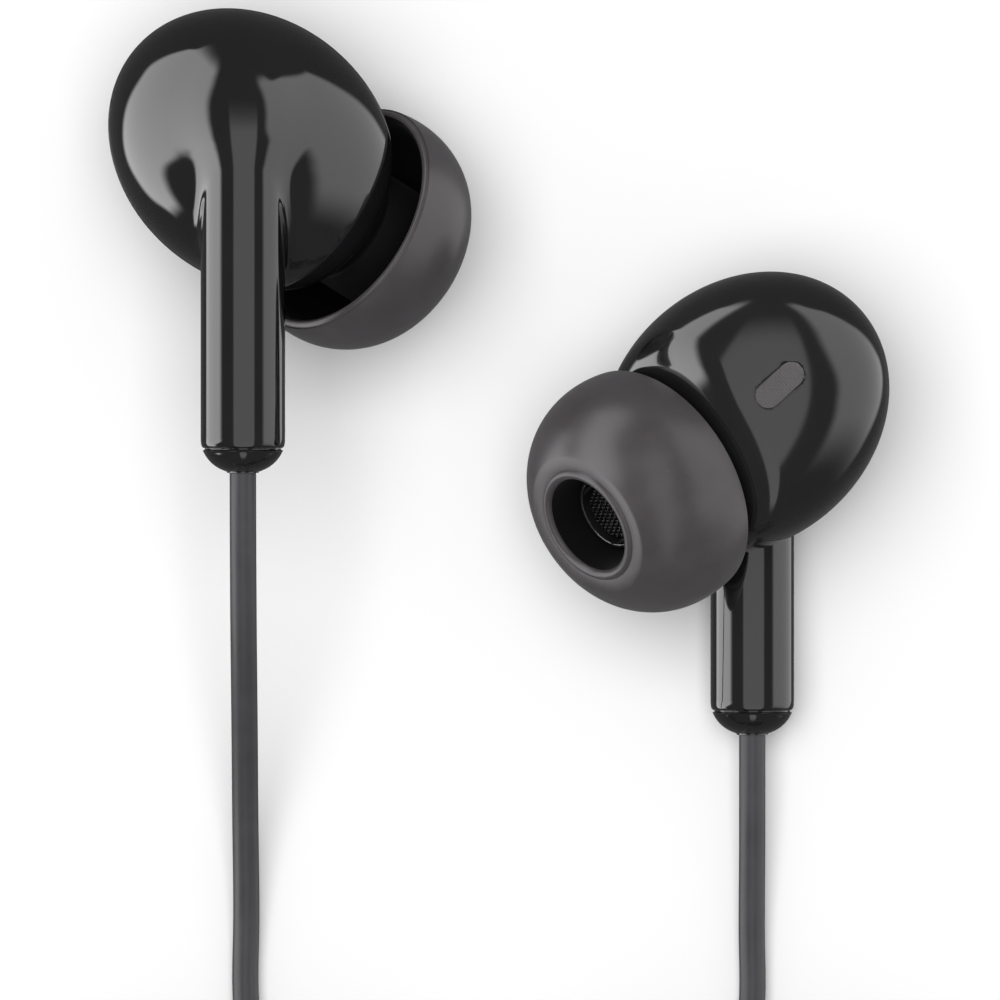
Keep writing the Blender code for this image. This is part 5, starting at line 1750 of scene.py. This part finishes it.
@dataclass
class Control:
    """The in-line control: two half shells round a board, three buttons and a microphone.

    Attributes:
        middle: the point on the table under its middle, in millimetres.
        length: along the cord.
        width: across it.
        height: over the table.
        corner: the rounding of its ends.
        wall: of the shells.
        floor: of the back shell.
        seam: the height of the seam, and half its width.
        edge: the rounding of its long edges.
        cell: the width of a face of the shells' meshes.
        hole: the radius of a button's hole.
        port: the microphone's opening: its place along the control, and its radius.
        board: how far it is drawn in from the outline, its foot and its top.
        capsule: the microphone's radius, foot and top.
        buttons: the three buttons.
    """

    middle: tuple[float, float, float] = (0.0, -56.8, 0.0)
    length: float = 22.0
    width: float = 6.4
    height: float = 5.0
    corner: float = 3.0
    wall: float = 0.8
    floor: float = 1.3
    seam: tuple[float, float] = (2.45, 0.03)
    edge: float = 0.9
    cell: float = 0.14
    hole: float = 1.72
    port: tuple[float, float] = (8.3, 0.32)
    board: tuple[float, float, float] = (1.2, 1.6, 2.1)
    capsule: tuple[float, float, float] = (1.05, 2.4, 3.2)
    buttons: tuple[Button, ...] = (Button("volume_up", 5.4), Button("play", 0.0), Button("volume_down", -5.4))

    def world(self, places: Points) -> Points:
        """Takes places from the control's frame, in millimetres, to the scene."""
        return MM * (np.array(self.middle) + places)

    def upright(self, y: float) -> Axis:
        """The upright axis at this place along the control."""
        return Axis(tuple(self.world(np.array([0.0, y, 0.0]))), (0.0, 0.0, 1.0))

    def plan(self, places: Points, inset: float = 0.0) -> Points:
        """The field of its outline, drawn in by inset."""
        x = np.abs(places[..., 0]) - (self.width / 2 - self.corner)
        y = np.abs(places[..., 1]) - (self.length / 2 - self.corner)
        outside = np.hypot(np.maximum(x, 0.0), np.maximum(y, 0.0))
        return outside + np.minimum(np.maximum(x, y), 0.0) - self.corner + inset

    def front(self, places: Points) -> Points:
        """The front shell's field, with the buttons' holes and the microphone's."""
        height = places[..., 2]
        outside = carve(self.plan(places), height - self.height, self.edge)
        outside = carve(outside, self.seam[0] + self.seam[1] - height, 0.12)
        cut = np.maximum(self.plan(places, self.wall), height - self.height + self.wall)
        for button in self.buttons:
            across = np.hypot(places[..., 0], places[..., 1] - button.place)
            cut = np.minimum(cut, across - self.hole)
        across = np.hypot(places[..., 0], places[..., 1] - self.port[0])
        cut = np.minimum(cut, across - self.port[1])
        return carve(outside, -cut, 0.16)

    def back(self, places: Points) -> Points:
        """The back shell's field."""
        height = places[..., 2]
        outside = carve(self.plan(places), -height, self.edge)
        outside = carve(outside, height - self.seam[0] + self.seam[1], 0.12)
        cut = np.maximum(self.plan(places, self.wall), self.floor - height)
        return carve(outside, -cut, 0.16)

    def slab(self) -> bpy.types.Mesh:
        """The board, with the three dome switches that the buttons press."""
        inset, foot, top = self.board
        half_x, half_y = self.width / 2 - inset, self.length / 2 - inset
        corner = self.corner - inset
        ring = []
        for x, y, start in ((1, -1, -90), (1, 1, 0), (-1, 1, 90), (-1, -1, 180)):
            for turn in np.radians(start + np.linspace(0.0, 90.0, 9)):
                across = x * (half_x - corner) + corner * math.cos(turn)
                ring.append((across, y * (half_y - corner) + corner * math.sin(turn)))
        flat = np.array(ring)
        rings = np.array([np.column_stack([flat, np.full(len(flat), level)]) for level in (foot, top)])
        meshes = [lofted("board_slab", self.world(rings))]
        domes = []
        for button in self.buttons:
            dome = [
                (0.0, top + 0.25), (0.3, top + 0.24), (0.7, top + 0.17),
                (1.0, top + 0.04), (1.0, top + 0.002), (0.0, top + 0.002),
            ]
            domes.append(self.upright(button.place).turned("dome", MM * np.array(dome), 32))
        return joined("control_board_dressed", *meshes, joined("domes", *domes))

    def button_corners(self) -> Sequence[tuple[float, float, float]]:
        """A button's profile: a dished top, a flange under the shell, and the stem over its switch."""
        top = self.height + 0.5
        under = self.height - self.wall - 0.3
        return (
            (0.0, top - 0.10, 0.0), (0.95, top, 0.30), (1.5, top - 0.04, 0.16), (1.5, under, 0.05),
            (2.1, under, 0.05), (2.1, under - 0.4, 0.05), (0.9, under - 0.4, 0.05),
            (0.9, self.board[2] + 0.55, 0.1), (0.0, self.board[2] + 0.55, 0.0),
        )

    def build(self) -> list[bpy.types.Object]:
        """Builds the control's pieces in place of their solids."""
        half = (self.width / 2 + 0.4, self.length / 2 + 0.4)
        made = []
        for name, form, low, high in (
            ("control_front", self.front, self.seam[0] - 0.4, self.height + 0.4),
            ("control_back", self.back, -0.4, self.seam[0] + 0.4),
        ):
            skin = Skin((-half[0], -half[1], low), (half[0], half[1], high), self.cell)
            piece = piece_of(name + "_skin", skin.wrap(name + "_skin", form, self.world), CONTROL_BLACK)
            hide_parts(name + "_shell")
            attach(piece, ROOT_BODY)
            made.append(piece)
        board = piece_of("control_board_dressed", self.slab(), CIRCUIT_BOARD, PRESSED_STEEL)
        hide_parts("control_board")
        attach(board, ROOT_BODY)
        made.append(board)
        radius, foot, top = self.capsule
        capsule = (
            (0.0, top - 0.12, 0.0), (0.28, top - 0.12, 0.02), (0.30, top, 0.02),
            (radius, top, 0.15), (radius, foot, 0.05), (0.0, foot, 0.0),
        )
        axis = self.upright(self.port[0])
        made.append(Turned("microphone_capsule", "microphone",
            axis, capsule, PRESSED_STEEL, "driver_steel").build())
        for button in self.buttons:
            name, corners = button.body + "_cap", self.button_corners()
            piece = Turned(name, button.body + "_button", self.upright(button.place),
                corners, BUTTON_BLACK, "button", button.body)
            made.append(piece.build())
        return made


@dataclass
class Plug:
    """The slim four-contact plug: body, and plated contacts on an insulating core.

    Attributes:
        foot: where the cord goes in, in millimetres; the plug points along +Y.
        relief: the length of its relief, and its end radii.
        body: the body's radius and length.
        contact: the contacts' radius.
        core: the insulating core's radius.
        lengths: of the sleeve and the two rings.
        tip: the tip's length.
        collar: the width of a collar, and how far it lies under the contacts.
        gap: between the body and what it meets.
        slit: between a contact and a collar.
    """

    foot: tuple[float, float, float] = PLUG_FOOT
    relief: tuple[float, float, float] = (8.0, 1.25, 2.1)
    body: tuple[float, float] = (3.0, 14.5)
    contact: float = 1.75
    core: float = 0.95
    lengths: tuple[float, float, float] = (4.4, 1.9, 1.9)
    tip: float = 3.4
    collar: tuple[float, float] = (0.4, 0.04)
    gap: float = 0.3
    slit: float = 0.12

    def build(self) -> list[bpy.types.Object]:
        """Builds the plug's pieces in place of their solids."""
        axis = Axis(tuple(MM * np.array(self.foot)), (0.0, 1.0, 0.0))
        length, start, end = self.relief
        boot = Sleeve(
            "plug_boot", "plug_relief", axis, length,
            root=(start, start), end=(end, end), grooves=9, depth=0.30, plain=0.9,
        )
        made = [boot.build()]
        radius, long = self.body
        foot = length + self.gap
        top = foot + long
        body = (
            (0.0, foot, 0.0), (end, foot, 0.08), (end + 0.36, foot + 0.36, 0.4),
            (radius, foot + 1.8, 1.0), (radius, foot + 10.6, 0.04),
            (radius - 0.10, foot + 10.7, 0.03), (radius - 0.10, foot + 10.95, 0.03),
            (radius, foot + 11.05, 0.04), (radius, top, 0.45), (self.contact + 0.35, top, 0.05),
            (self.contact + 0.3, top - 0.2, 0.05), (0.0, top - 0.2, 0.0),
        )
        made.append(
            Turned("plug_housing", "plug_body", axis, body, MATT_BLACK, "shell", segments=128).build(),
        )
        spot = top + self.gap
        inner, outer = self.core + self.gap, self.contact
        core = [(0.0, spot, 0.0), (self.core, spot, 0.05)]
        for name, run in zip(("plug_sleeve", "plug_ring_2", "plug_ring_1"), self.lengths):
            ring = (
                (inner, spot + run / 2, 0.0), (inner, spot + run, 0.05), (outer, spot + run, 0.08),
                (outer, spot, 0.08), (inner, spot, 0.05), (inner, spot + run / 2 - 0.01, 0.0),
            )
            made.append(
                Turned(name + "_plated", name, axis, ring, GOLD_PLATE, "contact", closed=True).build(),
            )
            low = spot + run + self.slit
            high = low + self.collar[0]
            wide = outer - self.collar[1]
            core += [(self.core, low, 0.03), (wide, low, 0.06), (wide, high, 0.06), (self.core, high, 0.03)]
            spot = high + self.slit
        core = [*core[:-1], (0.0, core[-1][1], 0.0)]
        made.append(Turned("plug_core", "plug_insulator", axis, core, BLACK_INSULATOR, "insulator").build())
        run = self.tip
        tip = (
            (0.0, spot, 0.0), (outer, spot, 0.08), (outer, spot + 0.08 * run, 0.2),
            (0.68 * outer, spot + 0.15 * run, 0.25), (0.68 * outer, spot + 0.25 * run, 0.25),
            (outer, spot + 0.48 * run, 0.35), (0.92 * outer, spot + 0.58 * run, 0.4),
            (0.3 * outer, spot + 0.96 * run, 0.3), (0.0, spot + run, 0.0),
        )
        made.append(Turned("plug_tip_plated", "plug_tip", axis, tip, GOLD_PLATE, "contact").build())
        return made


# ---------------------------------------------------------------- studio
@dataclass(frozen=True)
class Card:
    """A soft light card far off, as gloss sees it.

    Attributes:
        outline: rows of (Y, the two ends of its range about the Y axis in degrees from straight up
            towards +X), from its bottom to its top.
        turn_fade: how far the two ends fade.
        rise_fade: how far its bottom and top fade.
        level: its brightness at the bottom and at the top.
    """

    outline: tuple[tuple[float, float, float], ...]
    turn_fade: tuple[float, float]
    rise_fade: tuple[float, float]
    level: tuple[float, float]


@dataclass
class Studio:
    """The camera, the pale table and the plain soft light.

    Attributes:
        middle: of the picture on the table, in metres.
        width: of the picture.
        distance: from the camera to the buds.
        focus_height: of the buds' middle over the table.
        table_tone: the table's colour.
        cards: the light cards that gloss sees.
        dark: the level of light between them.
    """

    middle: tuple[float, float] = (0.000055, -0.00699)
    width: float = 0.0548
    distance: float = 1.0
    focus_height: float = 0.0075
    table_tone: Colour = (0.93, 0.93, 0.93)
    cards: tuple[Card, ...] = (
        Card(
            (
                (-0.66, -97.0, -77.0), (-0.50, -109.0, -75.0), (-0.34, -115.0, -68.0),
                (-0.22, -118.0, -52.0), (-0.15, -118.0, -46.0), (0.0, -115.0, -46.0),
                (0.20, -110.0, -46.0), (0.45, -103.0, -46.0), (0.69, -98.0, -44.0),
                (0.90, -75.0, -36.0), (0.94, -60.0, -34.0),
            ),
            (4.0, 7.0), (0.05, 0.04), (3.0, 1.9),
        ),
        Card(((-0.95, -12.0, 17.0), (0.55, -12.0, 17.0)), (2.0, 2.0), (0.05, 0.25), (0.75, 0.60)),
        Card(
            (
                (-0.45, 43.0, 118.0), (-0.33, 43.0, 120.0), (-0.18, 43.0, 127.0),
                (-0.08, 42.0, 133.0), (0.0, 42.0, 137.0), (0.105, 40.0, 139.0), (0.25, 35.0, 131.0),
                (0.40, 32.0, 121.0), (0.58, 32.0, 105.0), (0.80, 30.0, 75.0), (0.91, 26.0, 42.0),
            ),
            (6.0, 5.0), (0.25, 0.03), (0.9, 1.1),
        ),
    )
    dark: float = 0.10

    def camera(self) -> None:
        """Puts the camera straight over the buds, with a long lens."""
        data = bpy.data.cameras.new("camera")
        data.sensor_width = 36.0
        data.lens = 36.0 * self.distance / self.width
        data.clip_end = 100.0
        made = bpy.data.objects.new("camera", data)
        made.location = (*self.middle, self.distance + self.focus_height)
        bpy.context.scene.collection.objects.link(made)
        bpy.context.scene.camera = made

    def table(self) -> None:
        """Lays the plain pale table under everything."""
        reach = 3.0
        points = np.array(
            [(-reach, -reach, 0.0), (reach, -reach, 0.0), (reach, reach, 0.0), (-reach, reach, 0.0)],
        )
        made = bpy.data.objects.new("table_top", mesh_from("table_top", points, [(0, 1, 2, 3)]))
        shader = Shader("pale_table")
        shader.set(Base_Color=(*self.table_tone, 1.0), Roughness=0.9, Specular_IOR_Level=0.0)
        made.data.materials.append(shader.material)
        made.visible_glossy = False
        bpy.context.scene.collection.objects.link(made)

    def lamp(
        self, name: str, place: Sequence[float], aim: Sequence[float], size: float, power: float,
    ) -> None:
        """Hangs a soft square lamp that gloss doesn't see."""
        data = bpy.data.lights.new(name, "AREA")
        data.size = size
        data.energy = power
        made = bpy.data.objects.new(name, data)
        way = np.array(aim, float) - np.array(place, float)
        axis = Axis(tuple(place), tuple(-way)).matrix()
        matrix = np.eye(4)
        matrix[:3, :3] = axis
        matrix[:3, 3] = place
        made.matrix_world = Matrix([tuple(row) for row in matrix])
        made.visible_glossy = False
        bpy.context.scene.collection.objects.link(made)

    def world(self) -> None:
        """Makes the light all round: pale to the eye, and light cards on a dark wall to gloss."""
        world = bpy.data.worlds.new("studio")
        world.use_nodes = True
        bpy.context.scene.world = world
        tree = world.node_tree
        tree.nodes.clear()
        add, link = tree.nodes.new, tree.links.new
        apart = add("ShaderNodeSeparateXYZ")
        link(add("ShaderNodeTexCoord").outputs["Generated"], apart.inputs["Vector"])

        def sum_of(operation: str, *values: object) -> bpy.types.NodeSocket:
            """A sum of one operation."""
            made = add("ShaderNodeMath")
            made.operation = operation
            for socket, value in zip(made.inputs, values):
                if isinstance(value, (int, float)):
                    socket.default_value = value
                else:
                    link(value, socket)
            return made.outputs[0]

        def step(value: bpy.types.NodeSocket, start: float, end: float) -> bpy.types.NodeSocket:
            """A smooth step of a value from start to end."""
            made = add("ShaderNodeMapRange")
            made.interpolation_type = "SMOOTHSTEP"
            made.inputs["From Min"].default_value = start
            made.inputs["From Max"].default_value = end
            link(value, made.inputs["Value"])
            return made.outputs["Result"]

        def fade(value: bpy.types.NodeSocket, start: float, end: float, low: float, high: float) -> object:
            """A straight ramp from low to high as a value runs from start to end."""
            made = add("ShaderNodeMapRange")
            for key, number in (("From Min", start), ("From Max", end), ("To Min", low), ("To Max", high)):
                made.inputs[key].default_value = number
            link(value, made.inputs["Value"])
            return made.outputs["Result"]

        def bound(rows: Sequence[tuple[float, float]]) -> bpy.types.NodeSocket:
            """A card's end, in degrees, by how far up it the light comes from."""
            made = add("ShaderNodeFloatCurve")
            curve = made.mapping.curves[0]
            rows = [(-1.0, rows[0][1]), *rows, (1.0, rows[-1][1])]
            for place, (rise, degrees) in enumerate(rows):
                spot = (0.5 + rise / 2, 0.5 + degrees / 360.0)
                if 0 < place < len(rows) - 1:
                    curve.points.new(*spot)
                else:
                    curve.points[0 if place == 0 else len(curve.points) - 1].location = spot
            made.mapping.update()
            link(sum_of("MULTIPLY_ADD", apart.outputs["Y"], 0.5, 0.5), made.inputs["Value"])
            return sum_of("MULTIPLY_ADD", made.outputs["Value"], 360.0, -180.0)

        turn = sum_of("DEGREES", sum_of("ARCTAN2", apart.outputs["X"], apart.outputs["Z"]))
        total: object = self.dark
        for card in self.cards:
            spot = fade(apart.outputs["Y"], card.outline[0][0], card.outline[-1][0], *card.level)
            past_low = sum_of("SUBTRACT", turn, bound([(row[0], row[1]) for row in card.outline]))
            past_high = sum_of("SUBTRACT", turn, bound([(row[0], row[2]) for row in card.outline]))
            ranges = (
                (past_low, past_high, 0.0, 0.0, card.turn_fade),
                (
                    apart.outputs["Y"], apart.outputs["Y"],
                    card.outline[0][0], card.outline[-1][0], card.rise_fade,
                ),
            )
            for first, second, low, high, (low_fade, high_fade) in ranges:
                rising = step(first, low - low_fade, low + low_fade)
                falling = step(second, high + high_fade, high - high_fade)
                spot = sum_of("MULTIPLY", sum_of("MULTIPLY", rising, falling), spot)
            total = sum_of("ADD", spot, total)
        path = add("ShaderNodeLightPath")
        glossy = add("ShaderNodeBackground")
        link(total, glossy.inputs["Strength"])
        plain = add("ShaderNodeBackground")
        plain.inputs["Color"].default_value = (1.0, 1.0, 1.0, 1.0)
        plain.inputs["Strength"].default_value = 0.45
        seen = add("ShaderNodeBackground")
        seen.inputs["Color"].default_value = (*self.table_tone, 1.0)
        first, second = add("ShaderNodeMixShader"), add("ShaderNodeMixShader")
        link(path.outputs["Is Glossy Ray"], first.inputs[0])
        link(plain.outputs[0], first.inputs[1])
        link(glossy.outputs[0], first.inputs[2])
        link(path.outputs["Is Camera Ray"], second.inputs[0])
        link(first.outputs[0], second.inputs[1])
        link(seen.outputs[0], second.inputs[2])
        link(second.outputs[0], add("ShaderNodeOutputWorld").inputs["Surface"])

    def build(self) -> None:
        """Sets up the whole studio."""
        bpy.context.scene.view_settings.view_transform = "Standard"
        self.camera()
        self.table()
        self.lamp("overhead", (-0.10, 0.06, 0.85), (0.0, -0.02, 0.0), 0.7, 6.2)
        self.world()


# ---------------------------------------------------------------- the whole
CONTROL_TOP_Y = -45.8
CONTROL_LENGTH = 22.0
CONTROL_MIDDLE_Z = 2.5
BRANCH_DIAMETER = 1.45 * MM
MAIN_DIAMETER = 2.0 * MM
COIL_LIFT = 0.8 * MM
LEFT_LEAD = (
    (-13.95, -8.9, 12.95),
    (-13.95, -14.0, 10.9),
    (-13.95, -20.0, 6.6),
    (-13.95, -26.0, 2.7),
    (-13.95, -31.0, 0.98),
    (-13.95, -34.8, 0.80),
    (-13.30, -37.6, 0.95),
    (-11.95, -39.2, 1.25),
)
RIGHT_LEAD = (
    (13.95, -23.4, 2.2),
    (13.95, -27.5, 1.5),
    (13.95, -31.5, 0.92),
    (13.95, -34.8, 0.80),
    (13.30, -37.6, 0.95),
    (11.95, -39.2, 1.25),
)
BRANCH_TAIL = (
    (-11.2, -38.85, 6.9),
    (-7.8, -38.85, 5.3),
    (-5.0, -38.95, 3.9),
    (-2.65, -39.85, 3.0),
    (-1.5, -41.1, 2.6),
)
MAIN_LEAD = (
    (-0.1, -74.6, 2.4),
    (-0.65, -76.6, 2.1),
)
MAIN_TAIL = (
    (-4.75, -93.5, 9.0),
    (-4.75, -97.5, 7.4),
    (-4.75, -101.8, 5.9),
    (-5.75, -105.9, 4.9),
    (-8.7, -107.9, 3.9),
    (-11.6, -106.9, 3.2),
    (-12.55, -105.1, 3.0),
)


def branch(side: Side, lead: Route) -> Cord:
    """The cord from a bud's stem to the control."""
    hand = 1 if side is Side.LEFT else -1
    place = BudPlace(side)
    start = place.world(np.array([0.0, BUD.stem_y, 0.0]))
    centre = (-hand * 16.0 * MM, -48.5 * MM, COIL_LIFT + BRANCH_DIAMETER / 2)
    angle = math.radians(45.0 if hand > 0 else 135.0)
    coil = CoilForm(centre, 8.2 * MM, BRANCH_DIAMETER, 6.875, angle, -hand)
    tail = [(hand * x, y, z) for x, y, z in BRANCH_TAIL]
    finish = MM * np.array([-hand * 1.15, CONTROL_TOP_Y + 3.6, CONTROL_MIDDLE_Z])
    name = side.value
    nodes = (f"{name}_cord", f"{name}_cord_coil", f"{name}_cord_tail")
    down = (0.0, -1.0, 0.0)
    return Cord(
        f"{name}_branch_jacket", nodes, BRANCH_DIAMETER, (start, down), lead, coil, tail, (
            finish, down
        ), FarEnd.OBJECT
    )


def main_cord() -> Cord:
    """The cord from the control to the plug."""
    start = MM * np.array([0.0, CONTROL_TOP_Y - CONTROL_LENGTH - 4.6, CONTROL_MIDDLE_Z])
    centre = (10.4 * MM, -88.0 * MM, COIL_LIFT + MAIN_DIAMETER / 2)
    coil = CoilForm(centre, 12.0 * MM, MAIN_DIAMETER, 10.0 + 1.0 / 12.0, math.radians(150.0), 1)
    finish = MM * (np.array(PLUG_FOOT) - (0.0, 0.3, 0.0))
    nodes = ("main_cord", "main_cord_coil", "main_cord_tail")
    ends = ((start, (0.0, -1.0, 0.0)), (finish, (0.0, 1.0, 0.0)))
    return Cord(
        "main_jacket", nodes, MAIN_DIAMETER, ends[0], MAIN_LEAD, coil, MAIN_TAIL, ends[1], FarEnd.PLUG
    )


def main() -> None:
    """Builds the studio, the control and the plug, the cords that join them, and the buds, in this order."""
    logging.basicConfig(level=logging.INFO, format="%(name)s %(message)s")
    Studio().build()
    tube = TubeTree()
    top = Axis((0.0, MM * (CONTROL_TOP_Y + 0.3), MM * CONTROL_MIDDLE_Z), (0.0, 1.0, 0.0))
    bottom = Axis((0.0, MM * (CONTROL_TOP_Y - CONTROL_LENGTH - 0.3), MM * CONTROL_MIDDLE_Z), (0.0, -1.0, 0.0))
    fork = Sleeve(
        "branch_boot", "branch_relief", top, 3.0,
        root=(2.625, 1.475), end=(2.125, 0.975), grooves=3, depth=0.15, plain=0.5,
    ).build()
    boot = Sleeve(
        "main_boot", "main_relief", bottom, 4.0,
        root=(2.0, 2.0), end=(1.25, 1.25), grooves=4, depth=0.2, plain=0.6,
    ).build()
    on_main = [*Control().build(), fork, boot, *Plug().build()]
    for side, lead, angle in ((Side.LEFT, LEFT_LEAD, 225.0), (Side.RIGHT, RIGHT_LEAD, -45.0)):
        cord = branch(side, lead)
        cord.build(tube, [Tie(f"{side.value}_cord_tie", cord.coil, math.radians(angle)).build()])
    cord = main_cord()
    cord.build(tube, [*on_main, Tie("main_cord_tie", cord.coil, math.radians(60.0)).build()])
    for side in Side:
        Bud(side).build(tube)


if __name__ == "__main__":
    main()
